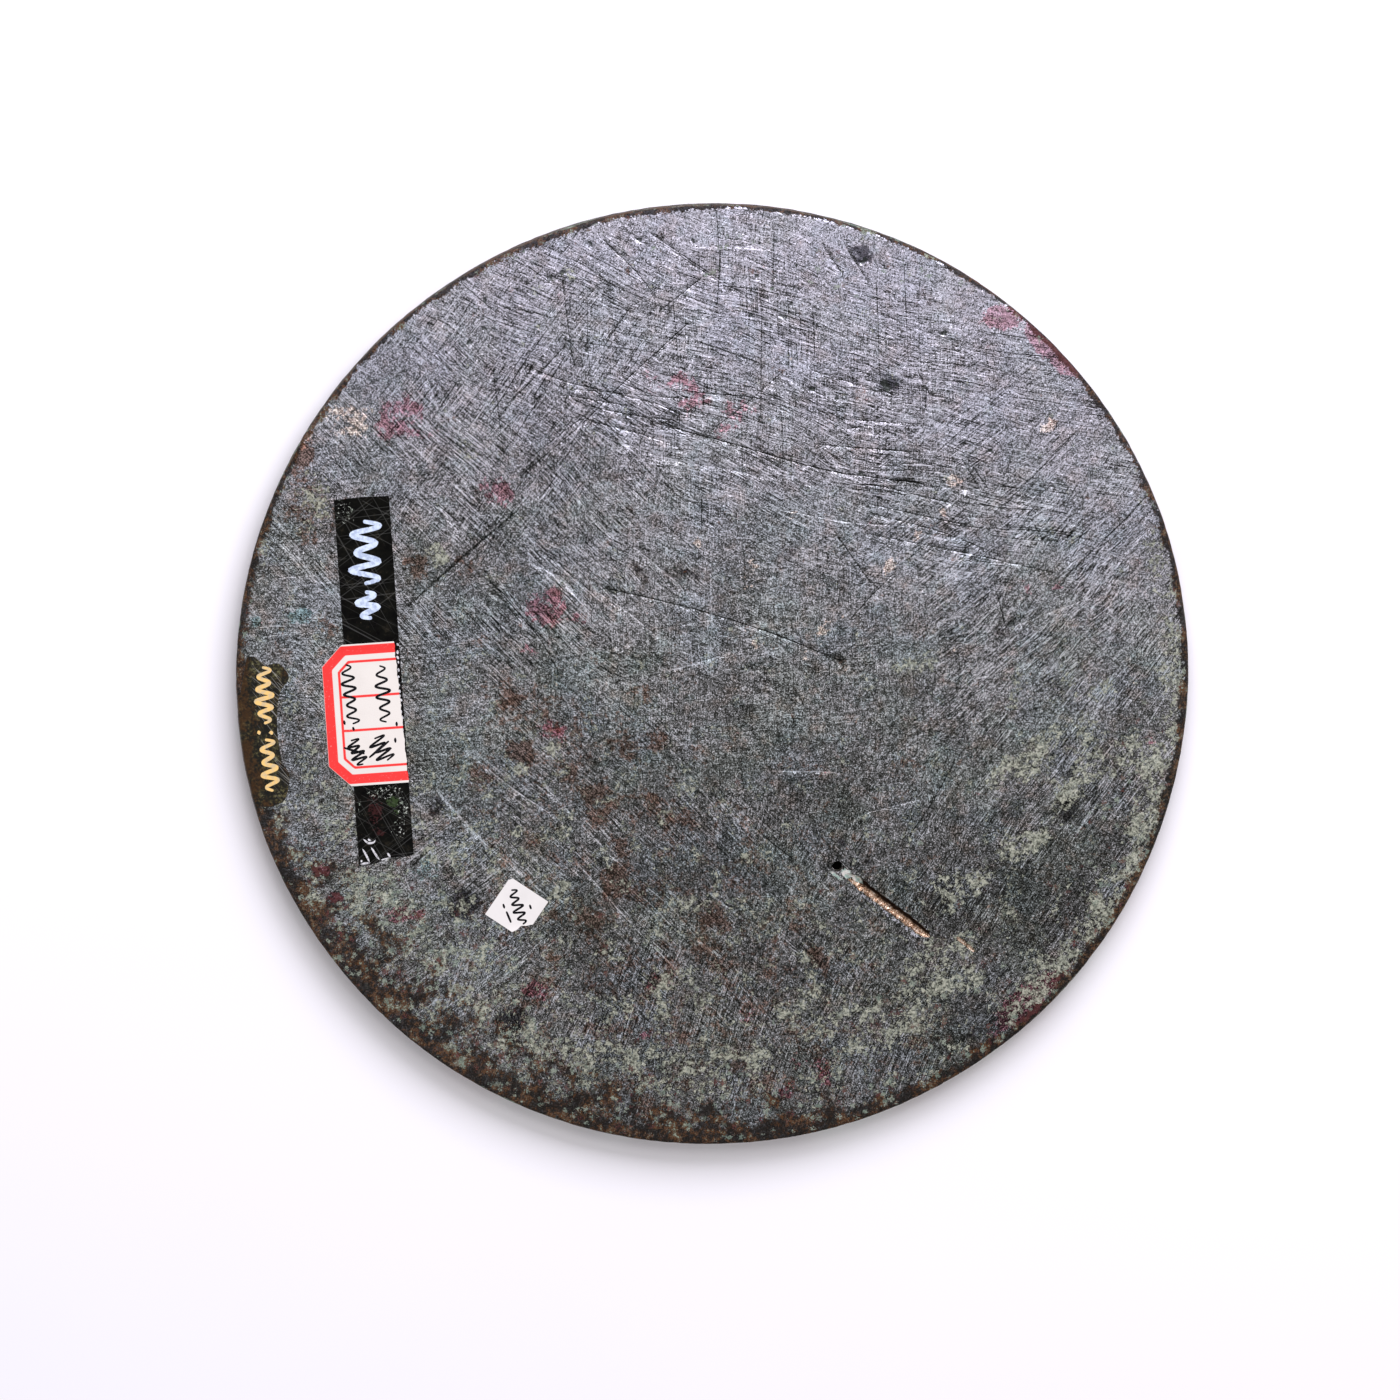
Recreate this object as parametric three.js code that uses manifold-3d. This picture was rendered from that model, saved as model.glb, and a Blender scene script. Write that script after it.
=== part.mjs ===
// A round cast bronze mirror lying face up, with the collector's tape and paper labels stuck to its face.
// Millimetres, +Z up. The origin is the centre of the flat ring on the underside that the mirror rests on.
import * as THREE from "three";
import { mergeVertices } from "three/addons/utils/BufferGeometryUtils.js";
import Module from "manifold-3d";

const wasm = await Module();
wasm.setup();

// The casting.
const DISC_RADIUS = 95;
const RIM_HEIGHT = 6.5;
const PLATE_THICKNESS = 2;
const FACE_EDGE_ROUND = 0.8;
const SEAT_EDGE_ROUND = 0.6;
const SIDE_DRAFT = 0.4;
const SEAT_WIDTH = 2.8;
const SWEEP_WIDTH = 10.5;
const SWEEP_POWER = 2.2;
const TURN_SEGMENTS = 96;

// The underside, measured down from the field between the rim and the knob.
const FIELD_Z = RIM_HEIGHT - PLATE_THICKNESS;
const STRING_RIDGES = [
  { radius: 70, width: 2.2, height: 0.9 },
  { radius: 50, width: 2.2, height: 0.9 },
];
const BAND = { inner: 19, outer: 26, lipHeight: 1, lipWidth: 1.2 };
const KNOB = { span: 15, width: 9, rise: 3.8, tunnelWidth: 6.4, tunnelRise: 2.4, foot: 0.5 };
const KNOB_STRING = { width: 1.7, pitch: 3.3, height: 0.5 };

// Damage to the face: a drilled hole, the gouge that runs from it, and a nick beyond.
const HOLE = { x: 25.3, y: -38.1, radius: 1.05 };
const GOUGE = { x: 35.6, y: -46, length: 21, width: 1.8, depth: 0.8, turn: -37.7 };
const NICK = { x: 51.2, y: -53.8, length: 4.7, width: 0.8, depth: 0.35, turn: -39 };

// What is stuck to the face.
const TAPE = { x: -67.5, y: -0.8, turn: 4.45, width: 11, top: 36.6, bottom: -36.6, skew: 0.85, thickness: 0.125 };
const FRAMED = { left: -10, right: 4.9, top: 7.1, bottom: -20.9, chamfer: 4.2, thickness: 0.25, lift: 0.3 };
const SQUARE = { x: -38.6, y: -46.9, turn: -33.3, side: 9.1, clip: 0.7, thickness: 0.125 };

function solidOf(geometry) {
  const bare = geometry.clone();
  bare.deleteAttribute("normal");
  bare.deleteAttribute("uv");
  const merged = mergeVertices(bare, 1e-4);
  return new wasm.Manifold(
    new wasm.Mesh({
      numProp: 3,
      vertProperties: new Float32Array(merged.attributes.position.array),
      triVerts: new Uint32Array(merged.index.array),
    }),
  );
}

function geometryOf(solid) {
  const mesh = solid.getMesh();
  const geometry = new THREE.BufferGeometry();
  geometry.setAttribute("position", new THREE.BufferAttribute(mesh.vertProperties, 3));
  geometry.setIndex(new THREE.BufferAttribute(mesh.triVerts, 1));
  geometry.computeVertexNormals();
  return geometry;
}

// Points of a circular arc, with angles in quarter turns anticlockwise from +r.
function arc(r, z, radius, from, to, steps) {
  return Array.from({ length: steps + 1 }, (_, i) => {
    const angle = ((from + ((to - from) * i) / steps) * Math.PI) / 2;
    return new THREE.Vector2(r + radius * Math.cos(angle), z + radius * Math.sin(angle));
  });
}

// A rounded string ridge on the underside, crossed from its outer foot to its inner one.
function ridge({ radius, width, height }, steps = 4) {
  return Array.from({ length: steps + 1 }, (_, i) => {
    const across = 1 - (2 * i) / steps;
    const drop = height * Math.cos((across * Math.PI) / 2);
    return new THREE.Vector2(radius + (across * width) / 2, FIELD_Z - drop);
  });
}

// The concave sweep from the lip of the rim up to the field.
function sweep(start, width, steps = 6) {
  return Array.from({ length: steps }, (_, i) => {
    const left = 1 - (i + 1) / steps;
    const z = FIELD_Z - (FIELD_Z - start.y) * left ** SWEEP_POWER;
    return new THREE.Vector2(start.x - width * (1 - left), z);
  });
}

// Half of the casting's section, from the middle of the face, round the rim, to the middle of the underside.
function discProfile() {
  const seatOuter = DISC_RADIUS - SIDE_DRAFT - SEAT_EDGE_ROUND;
  const seatInner = seatOuter - SEAT_WIDTH;
  const lip = arc(seatInner, SEAT_EDGE_ROUND, SEAT_EDGE_ROUND, -1, -2, 2);
  const bandRidge = (radius) => ridge({ radius, width: BAND.lipWidth, height: BAND.lipHeight }, 4);
  return [
    new THREE.Vector2(0, RIM_HEIGHT),
    ...arc(DISC_RADIUS - FACE_EDGE_ROUND, RIM_HEIGHT - FACE_EDGE_ROUND, FACE_EDGE_ROUND, 1, 0, 3),
    ...arc(seatOuter, SEAT_EDGE_ROUND, SEAT_EDGE_ROUND, 0, -1, 2),
    ...lip,
    ...sweep(lip.at(-1), SWEEP_WIDTH),
    ...STRING_RIDGES.flatMap((one) => ridge(one)),
    ...bandRidge(BAND.outer),
    ...bandRidge(BAND.inner),
    new THREE.Vector2(0, FIELD_Z),
  ];
}

function turnedDisc() {
  return new THREE.LatheGeometry(discProfile().reverse(), TURN_SEGMENTS).rotateX(Math.PI / 2);
}

// An arch with a tunnel under it, drawn upright, then turned to stand down from the field.
function arch(width, extra, y) {
  const outer = new THREE.Shape();
  const half = KNOB.span / 2 + extra;
  outer.moveTo(half, -KNOB.foot);
  outer.absellipse(0, 0, half, KNOB.rise + extra, 0, Math.PI);
  outer.lineTo(-half, -KNOB.foot);
  outer.lineTo(-KNOB.tunnelWidth / 2, -KNOB.foot);
  outer.absellipse(0, 0, KNOB.tunnelWidth / 2, KNOB.tunnelRise, Math.PI, 0, true);
  outer.lineTo(KNOB.tunnelWidth / 2, -KNOB.foot);
  const geometry = new THREE.ExtrudeGeometry(outer, { depth: width, bevelEnabled: false, curveSegments: 8 });
  return geometry.rotateX(-Math.PI / 2).translate(0, y - width / 2, FIELD_Z);
}

// The knob: a small bridge for a cord, with three strings running over it.
function knob() {
  const body = solidOf(arch(KNOB.width, 0, 0));
  return [-1, 0, 1].reduce(
    (made, side) => made.add(solidOf(arch(KNOB_STRING.width, KNOB_STRING.height, side * KNOB_STRING.pitch))),
    body,
  );
}

// A trough with round ends, sunk in the face.
function trough({ x, y, length, width, depth, turn }) {
  const capsule = new THREE.CapsuleGeometry(width / 2, length - width, 3, 10);
  capsule.rotateZ(Math.PI / 2).scale(1, 1, (2 * depth) / width);
  return solidOf(capsule.rotateZ(THREE.MathUtils.degToRad(turn)).translate(x, y, RIM_HEIGHT));
}

function hole() {
  const cylinder = new THREE.CylinderGeometry(HOLE.radius, HOLE.radius, 4 * PLATE_THICKNESS, 16);
  return solidOf(cylinder.rotateX(Math.PI / 2).translate(HOLE.x, HOLE.y, RIM_HEIGHT - PLATE_THICKNESS / 2));
}

function disc() {
  const casting = solidOf(turnedDisc()).add(knob());
  return geometryOf(casting.subtract(hole()).subtract(trough(GOUGE)).subtract(trough(NICK)));
}

// A flat sheet cut to an outline and lying at the given height above the face.
function sheet(outline, thickness, above = 0) {
  const shape = new THREE.Shape(outline.map(([x, y]) => new THREE.Vector2(x, y)));
  const geometry = new THREE.ExtrudeGeometry(shape, { depth: thickness, bevelEnabled: false });
  return geometry.translate(0, 0, above);
}

function tapeStrip() {
  const half = TAPE.width / 2;
  return sheet(
    [
      [-half, TAPE.bottom - TAPE.skew],
      [half, TAPE.bottom + TAPE.skew],
      [half, TAPE.top],
      [-half, TAPE.top],
    ],
    TAPE.thickness,
  );
}

// The framed label lies over the tape, and its left part steps down onto the bronze.
function framedLabel() {
  const { left, right, top, bottom, chamfer, thickness, lift } = FRAMED;
  const step = -TAPE.width / 2 - lift;
  const chamferEnd = left + chamfer;
  const full = [
    [left, bottom + chamfer],
    [chamferEnd, bottom],
    [right, bottom],
    [right, top],
    [chamferEnd, top],
    [left, top - chamfer],
  ];
  const foot = [
    [left, bottom + chamfer],
    [chamferEnd, bottom],
    [step, bottom],
    [step, top],
    [chamferEnd, top],
    [left, top - chamfer],
  ];
  const upper = solidOf(sheet(full, thickness, TAPE.thickness));
  return geometryOf(upper.add(solidOf(sheet(foot, TAPE.thickness + thickness / 2))));
}

// The small label: one corner clipped, the opposite one torn away.
function squareLabel() {
  const half = SQUARE.side / 2;
  return sheet(
    [
      [-half, -half],
      [half / 2, -half],
      [half * 0.7, -half / 2],
      [half, -half / 5],
      [half, half],
      [-half + SQUARE.clip, half],
      [-half, half - SQUARE.clip],
    ],
    SQUARE.thickness,
  );
}

function part(name, geometry, color, roughness, metalness) {
  const made = new THREE.Mesh(geometry, new THREE.MeshStandardMaterial({ color, roughness, metalness }));
  made.name = name;
  return made;
}

// A group lying on the face, turned about +Z in degrees.
function onFace({ x, y, turn }, ...meshes) {
  const group = new THREE.Group();
  group.position.set(x, y, RIM_HEIGHT);
  group.rotation.z = THREE.MathUtils.degToRad(turn);
  return group.add(...meshes);
}

const mirror = new THREE.Group();
mirror.add(
  part("mirror_disc", disc(), 0x6b6a70, 0.5, 0.8),
  onFace(
    TAPE,
    part("tape_strip", tapeStrip(), 0x17170f, 0.2, 0),
    part("framed_label", framedLabel(), 0xe0564f, 0.8, 0),
  ),
  onFace(SQUARE, part("square_label", squareLabel(), 0xe8dcd6, 0.8, 0)),
);

export default mirror;
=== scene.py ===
"""Looks for a cast bronze mirror that lies face up, with the collector's tape and labels on its face.

Blender works in metres, in the CAD's frame: +Z out of the face, the origin at the centre of the ring that the
mirror rests on.
The script's own sizes are in millimetres, and become metres where a mesh, light or camera is made.
"""

import math

import bmesh
import bpy
import numpy as np
from mathutils import Matrix, Vector, noise
from mathutils.geometry import delaunay_2d_cdt


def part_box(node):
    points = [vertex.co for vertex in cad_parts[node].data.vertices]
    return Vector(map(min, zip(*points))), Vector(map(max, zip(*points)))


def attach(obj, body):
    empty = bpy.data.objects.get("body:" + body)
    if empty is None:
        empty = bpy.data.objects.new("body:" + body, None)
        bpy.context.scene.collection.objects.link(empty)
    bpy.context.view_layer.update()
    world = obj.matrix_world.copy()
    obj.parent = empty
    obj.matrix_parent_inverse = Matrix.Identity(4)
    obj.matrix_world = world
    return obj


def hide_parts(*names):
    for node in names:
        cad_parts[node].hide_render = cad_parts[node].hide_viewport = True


MM = 0.001
RNG = np.random.default_rng(19)


# ---------------------------------------------------------------- sizes

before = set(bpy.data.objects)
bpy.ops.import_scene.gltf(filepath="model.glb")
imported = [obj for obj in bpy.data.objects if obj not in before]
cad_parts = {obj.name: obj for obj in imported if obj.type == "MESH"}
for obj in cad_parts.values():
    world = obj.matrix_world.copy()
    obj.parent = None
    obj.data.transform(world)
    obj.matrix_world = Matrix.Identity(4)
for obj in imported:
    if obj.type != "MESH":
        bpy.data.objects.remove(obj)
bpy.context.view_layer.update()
RADIUS, _, FACE_Z = np.array(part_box("mirror_disc")[1]) / MM

# The casting's section, as the CAD has it.
PLATE = 2.0
FIELD_Z = FACE_Z - PLATE
FACE_ROUND = 0.8
FACE_RADIUS = RADIUS - FACE_ROUND
SEAT_ROUND = 0.6
SIDE_DRAFT = 0.4
SEAT_WIDTH = 2.8
SWEEP_WIDTH = 10.5
SWEEP_POWER = 2.2

# The ridges under it are radius, width and height. The knob's strings are a pitch, a width and a height.
RIDGES = [(70, 2.2, 0.9), (50, 2.2, 0.9), (26, 1.2, 1.0), (19, 1.2, 1.0)]
KNOB_SPAN, KNOB_WIDTH, KNOB_RISE = 15, 9, 3.8
KNOB_TUNNEL = (6.4, 2.4)
KNOB_STRINGS = (3.3, 1.7, 0.5)

# Damage to the face. The hole and each pit are x, y and radius, and a trough's x and y are its middle.
HOLE = (25.3, -38.1, 1.05)
GOUGE = dict(x=35.6, y=-46.0, length=21.0, width=2.1, depth=0.8, turn=-37.0)
NICK = dict(x=51.2, y=-53.8, length=4.7, width=0.8, depth=0.35, turn=-39.0)
PITS = [
    (-15.7, 87.9, 0.8), (7.7, 80.6, 0.6), (9.9, 76.3, 0.5), (6.5, 72.7, 0.6), (13.1, 72.7, 0.8),
    (14.5, 75.3, 0.6), (15.3, 82.8, 0.5), (18.9, 58.1, 0.8), (23.7, 56.4, 0.6), (33.5, 59.1, 1.2),
    (35.6, 59.3, 0.6), (28.9, 83.7, 1.1), (29.1, 41.2, 0.8), (29.9, 51.0, 0.6), (20.4, 15.9, 0.5),
    (44.9, 69.6, 0.8), (54.5, 46.0, 0.6), (-49.2, 66.9, 0.8), (-46.5, 69.8, 0.6), (-30.9, 81.2, 0.8),
    (-33.5, 80.0, 1.0), (-46.2, 75.6, 0.8), (-25.9, 65.4, 0.5), (14.5, -26.2, 0.8), (55.8, -17.0, 0.6),
    (-20.0, -66.0, 0.6), (-8.0, 22.0, 0.5), (62.0, -33.0, 0.5), (-25.5, 86.9, 0.7), (-5.0, 87.5, 0.6),
]

# Scratches cut deep enough to be in the mesh: width, how light (1) or dark (-1) each looks, and its course.
SCRATCHES = [
    (0.30, -0.8, [(-8.5, 68.8), (-19.9, 57.9), (-26.1, 51.4), (-33.5, 44.9), (-39.3, 39.8)]),
    (0.36, -0.7, [(-29.3, 67.4), (-35.5, 60.8), (-41.1, 55.0)]),
    (0.26, -0.8, [(-31.1, 80.8), (-28.9, 65.2), (-27.9, 61.5)]),
    (0.26, -0.6, [(-23.5, 79.0), (-27.9, 73.9)]),
    (0.30, -0.9, [(-23.5, 88.3), (-16.7, 81.8), (-12.1, 76.1)]),
    (0.34, -0.9, [(-39.3, 62.9), (-29.9, 59.3), (-22.9, 57.7), (-12.1, 55.0), (-6.1, 52.6)]),
    (0.26, -0.6, [(-44.9, 64.6), (-43.5, 54.4), (-42.1, 43.4)]),
    (0.28, -0.5, [(-46.7, 66.2), (-50.3, 60.5)]),
    (0.26, 0.8, [(-58.5, 68.8), (-54.3, 62.3)]),
    (0.26, 0.8, [(-58.1, 61.5), (-54.9, 52.6)]),
    (0.30, -0.7, [(-24.9, 51.4), (-15.0, 48.9), (-6.1, 45.9)]),
    (0.30, -0.8, [(-26.3, 54.6), (-16.0, 52.6), (-6.1, 51.4)]),
    (0.28, -0.7, [(-31.3, 56.8), (-15.7, 54.2)]),
    (0.26, -0.7, [(-29.9, 57.9), (-6.1, 56.0)]),
    (0.26, 0.7, [(-19.3, 47.1), (-6.1, 43.0)]),
    (0.30, -0.7, [(-14.3, 68.8), (-19.7, 59.3)]),
    (0.28, -0.8, [(-6.1, 70.2), (-14.3, 62.7)]),
    (0.28, -0.7, [(-24.9, 53.6), (-37.1, 43.8)]),
    (0.28, -0.7, [(-30.7, 40.2), (-36.3, 35.5)]),
    (0.32, -0.7, [(0.5, 87.1), (-0.3, 72.5)]),
    (0.28, -0.9, [(8.7, 78.0), (8.7, 64.0), (8.8, 51.2)]),
    (0.28, -0.8, [(10.9, 90.7), (10.8, 76.5)]),
    (0.30, -0.7, [(14.1, 68.6), (14.1, 61.1)]),
    (0.28, -0.7, [(15.7, 67.2), (15.9, 62.7)]),
    (0.28, -0.6, [(18.1, 69.0), (17.7, 63.5)]),
    (0.40, -1.0, [(-2.7, 58.5), (-2.7, 53.2)]),
    (0.36, -1.0, [(-5.1, 71.9), (-9.4, 67.9), (-14.1, 63.1)]),
    (0.30, -0.8, [(-1.7, 81.6), (-11.9, 73.3)]),
    (0.28, -0.7, [(13.7, 62.3), (5.9, 55.2), (-2.3, 48.7)]),
    (0.32, -0.8, [(-14.1, 89.5), (-2.3, 81.6), (5.9, 76.5)]),
    (0.28, -0.7, [(-11.9, 87.5), (3.1, 77.5)]),
    (0.38, -0.9, [(-14.1, 51.6), (3.1, 47.1), (21.7, 42.0), (41.9, 39.2)]),
    (0.32, 0.5, [(-14.1, 44.3), (1.3, 42.0), (10.9, 40.0)]),
    (0.32, -0.8, [(19.1, 47.1), (41.9, 45.5)]),
    (0.36, -0.9, [(24.9, 50.1), (29.9, 50.8)]),
    (0.30, -0.7, [(23.7, 52.2), (41.9, 51.2)]),
    (0.28, -0.7, [(18.1, 62.1), (28.7, 58.9)]),
    (0.32, -0.8, [(20.1, 87.7), (25.1, 80.6)]),
    (0.32, -0.8, [(24.9, 87.1), (30.1, 79.2)]),
    (0.30, -0.7, [(31.3, 84.4), (34.1, 81.2)]),
    (0.30, -0.7, [(38.7, 64.6), (41.5, 58.1)]),
    (0.30, -0.8, [(48.5, 45.1), (52.3, 38.6)]),
    (0.30, -0.8, [(49.9, 44.5), (54.5, 38.0)]),
    (0.30, -0.7, [(56.7, 39.0), (59.1, 45.5)]),
    (0.28, -0.6, [(47.7, 38.0), (54.5, 38.6)]),
    (0.28, -0.7, [(39.9, 62.1), (43.1, 55.6)]),
    (0.30, -0.7, [(29.9, 39.4), (49.9, 34.7)]),
    (0.30, -0.7, [(29.9, 35.3), (51.3, 30.7)]),
    (0.28, -0.6, [(29.9, 33.5), (45.0, 29.6), (58.5, 24.2)]),
    (0.28, -0.6, [(29.9, 29.2), (50.0, 25.4), (68.5, 21.3)]),
    (0.70, -0.6, [(-38.1, 34.3), (-50.0, 24.0), (-62.0, 12.9)]),
    (0.26, 0.8, [(-55.5, 35.5), (-49.9, 28.2)]),
    (0.26, 0.8, [(-60.9, 32.3), (-55.5, 26.0)]),
    (0.26, 0.9, [(-44.9, 22.3), (-38.3, 12.6)]),
    (0.26, 0.7, [(-54.1, 18.7), (-44.1, 27.4)]),
    (0.36, 1.0, [(-37.5, 23.0), (-32.0, 20.5), (-26.3, 16.0)]),
    (0.36, 1.0, [(-35.0, 24.8), (-28.0, 20.9)]),
    (0.28, 0.9, [(-18.0, 27.8), (-6.0, 17.7)]),
    (0.30, 0.9, [(-25.0, 18.0), (-18.0, 13.6), (-8.5, 5.7)]),
    (0.28, -0.8, [(-45.3, 20.0), (-40.0, 14.0), (-34.3, 7.1), (-30.0, -0.8)]),
    (0.34, -0.9, [(-23.0, 18.0), (-14.0, 16.2), (-3.3, 13.6), (7.3, 10.4), (14.5, 7.9), (27.0, 2.8)]),
    (0.28, 0.8, [(-11.3, 0.4), (-4.0, 2.6), (3.8, 5.0)]),
    (0.28, 0.9, [(-20.5, 4.2), (-19.4, 6.2), (-18.4, 4.6), (-17.2, 6.6), (-15.6, 6.0)]),
    (0.28, -0.9, [(-2.7, 37.5), (-2.7, 28.6)]),
    (0.30, -0.7, [(23.4, 30.0), (32.0, 18.0)]),
    (0.30, -0.7, [(36.9, 22.3), (31.9, 17.3), (26.9, 11.6)]),
    (0.28, -0.6, [(29.7, 28.8), (28.3, 24.6)]),
    (0.26, -0.6, [(5.9, 25.4), (5.9, 16.4)]),
    (0.34, 1.0, [(-54.7, -23.5), (-45.7, -33.3), (-36.5, -40.6)]),
    (0.28, 0.8, [(-55.4, -22.4), (-46.4, -32.2), (-37.8, -39.0)]),
    (0.28, 0.8, [(-50.3, -14.0), (-39.7, -22.7), (-30.1, -29.0)]),
    (0.60, -0.7, [(-55.1, -34.1), (-60.1, -39.2)]),
    (0.28, 0.9, [(-61.9, -38.5), (-59.3, -45.0)]),
    (0.26, 0.8, [(-55.8, -33.2), (-60.9, -38.4)]),
    (0.26, 0.8, [(-54.4, -35.0), (-59.4, -40.2)]),
    (0.28, 0.8, [(-45.6, -42.6), (-48.7, -44.7), (-54.7, -47.7)]),
    (0.28, 0.8, [(-32.5, -52.4), (-41.9, -61.9)]),
    (0.26, 0.8, [(-31.0, -53.4), (-38.4, -61.4)]),
    (0.30, 0.9, [(-32.0, -32.0), (-28.0, -36.3), (-19.3, -46.0), (-17.5, -50.5)]),
    (0.28, 0.8, [(-33.5, -22.0), (-19.3, -36.7), (-8.0, -46.5), (-2.9, -52.4), (2.5, -57.4)]),
    (0.28, 0.8, [(-22.1, -42.8), (-12.5, -53.4), (-4.7, -60.7)]),
    (0.28, 0.8, [(4.3, -60.3), (14.0, -71.0)]),
    (0.28, -0.7, [(8.3, -29.8), (13.7, -34.9)]),
    (0.38, -1.0, [(10.0, -31.7), (17.0, -37.1)]),
    (0.28, 0.9, [(10.0, -18.9), (22.3, -19.0), (26.7, -19.7)]),
    (0.26, 0.9, [(30.0, -27.6), (42.0, -24.4)]),
    (0.30, 0.7, [(40.3, -34.3), (45.7, -26.2), (50.9, -15.8)]),
    (0.28, -0.7, [(38.9, -32.9), (44.2, -24.8), (48.9, -15.6)]),
    (0.26, 0.7, [(21.7, -40.8), (25.3, -44.8)]),
    (0.30, -0.8, [(56.1, 18.3), (58.3, 9.9)]),
    (0.28, 0.8, [(58.3, 9.9), (63.9, 12.2), (73.1, 15.8)]),
    (0.28, 0.9, [(65.5, 0.6), (68.9, 3.0)]),
    (0.28, -0.7, [(62.1, 33.5), (66.1, 26.8)]),
]


# ---------------------------------------------------------------- numbers

def smooth(value, low, high):
    """0 below low, 1 above high, and an even S-curve between."""
    t = np.clip((value - low) / (high - low), 0, 1)
    return t * t * (3 - 2 * t)


def noise_at(points, size, seed=0):
    """Perlin noise from about -1 to 1 at points in millimetres, with features of about that size."""
    shift = Vector((seed * 7.3, seed * 3.1, seed * 5.7))
    return np.array([noise.noise(Vector(p) / size + shift) for p in np.asarray(points, float).tolist()])


def noise_on_face(x, y, size, seed=0):
    """Noise for a thing that lies flat."""
    return noise_at(np.column_stack([x, y, np.zeros(len(x))]), size, seed)


def turned(x, y, degrees):
    angle = math.radians(degrees)
    return x * math.cos(angle) - y * math.sin(angle), x * math.sin(angle) + y * math.cos(angle)


def along_trough(x, y, trough):
    """Places seen from a trough's middle: along it, and across it."""
    return turned(x - trough["x"], y - trough["y"], -trough["turn"])


def distance_to_trough(x, y, trough):
    along, across = along_trough(x, y, trough)
    past_end = np.maximum(np.abs(along) - trough["length"] / 2, 0)
    return np.hypot(past_end, across)


def curve_through(points, step=0.3):
    """A smooth open curve through the points, sampled about every step."""
    points = np.array(points, float)
    padded = np.vstack([2 * points[0] - points[1], points, 2 * points[-1] - points[-2]])
    samples = []
    for a, b, c, d in zip(padded, padded[1:], padded[2:], padded[3:]):
        count = max(2, int(np.linalg.norm(c - b) / step))
        for t in np.arange(count) / count:
            samples.append(0.5 * (2 * b + (c - a) * t + (2 * a - 5 * b + 4 * c - d) * t**2
                                  + (3 * b - a - 3 * c + d) * t**3))
    return np.vstack([samples, points[-1]])


# ---------------------------------------------------------------- meshes

def mesh_object(name, verts, faces, materials, face_materials=None, smooth_angle=40):
    """An object from vertices in millimetres."""
    mesh = bpy.data.meshes.new(name)
    mesh.from_pydata((np.asarray(verts) * MM).tolist(), [], [list(map(int, f)) for f in faces])
    for material in materials:
        mesh.materials.append(material)
    if face_materials is not None:
        mesh.polygons.foreach_set("material_index", np.asarray(face_materials, dtype=np.int32))
    mesh.polygons.foreach_set("use_smooth", [True] * len(mesh.polygons))
    mesh.update()
    mesh.set_sharp_from_angle(angle=math.radians(smooth_angle))
    made = bpy.data.objects.new(name, mesh)
    bpy.context.scene.collection.objects.link(made)
    return made


def positions(obj):
    """A mesh's vertices, in millimetres."""
    places = np.empty(3 * len(obj.data.vertices))
    obj.data.vertices.foreach_get("co", places)
    return places.reshape(-1, 3) / MM


def give(obj, name, values):
    """A number for each vertex, for the materials to read."""
    attribute = obj.data.attributes.new(name, "FLOAT", "POINT")
    attribute.data.foreach_set("value", np.asarray(values, dtype=np.float32))


def weld(obj, distance=1e-3):
    """Joins vertices that meet, and turns every face outward."""
    work = bmesh.new()
    work.from_mesh(obj.data)
    bmesh.ops.remove_doubles(work, verts=work.verts, dist=distance * MM)
    bmesh.ops.recalc_face_normals(work, faces=work.faces)
    work.to_mesh(obj.data)
    work.free()


def combine(obj, other, operation):
    """Joins the other object to this one or cuts it away, and deletes it."""
    modifier = obj.modifiers.new("combine", "BOOLEAN")
    modifier.operation = operation
    modifier.solver = "MANIFOLD"
    modifier.object = other
    with bpy.context.temp_override(object=obj, active_object=obj, selected_objects=[obj]):
        bpy.ops.object.modifier_apply(modifier=modifier.name)
    bpy.data.objects.remove(other)


def scattered(low, high, cell, wanted):
    """One jittered point in each cell of a grid, whose cells are split in four until as fine as wanted."""
    counts = np.ceil((np.array(high) - low) / cell).astype(int)
    grid = np.stack(np.meshgrid(np.arange(counts[0]), np.arange(counts[1])), -1).reshape(-1, 2)
    middles, size, kept = (grid + 0.5) * cell + low, cell, []
    while len(middles):
        split = wanted(middles[:, 0], middles[:, 1]) < 0.75 * size
        kept.append(middles[~split] + RNG.uniform(-0.3, 0.3, (np.count_nonzero(~split), 2)) * size)
        quarters = np.array([(-1, -1), (1, -1), (-1, 1), (1, 1)]) * size / 4
        middles = (middles[split][:, None] + quarters).reshape(-1, 2)
        size /= 2
    return np.vstack(kept)


def triangulated(points, loops, lines=()):
    """Triangles over all the points, with the sides of every loop and line among their edges."""
    verts, edges = points.tolist(), []
    for loop in loops:
        first, count = len(verts), len(loop)
        verts += np.asarray(loop).tolist()
        edges += [(first + i, first + (i + 1) % count) for i in range(count)]
    for line in lines:
        first = len(verts)
        verts += np.asarray(line).tolist()
        edges += [(first + i, first + i + 1) for i in range(len(line) - 1)]
    made = delaunay_2d_cdt([Vector(v) for v in verts], edges, [], 0, 1e-6, False)
    return np.array([tuple(v) for v in made[0]]), np.array(made[2])


def inside(points, loop):
    """Which points a closed outline holds."""
    x, y = points[:, 0], points[:, 1]
    held = np.zeros(len(points), bool)
    loop = np.asarray(loop)
    for (x0, y0), (x1, y1) in zip(loop, np.roll(loop, -1, axis=0)):
        if y0 == y1:
            continue
        crossing = (y0 > y) != (y1 > y)
        held ^= crossing & (x < (x1 - x0) * (y - y0) / (y1 - y0) + x0)
    return held


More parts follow.
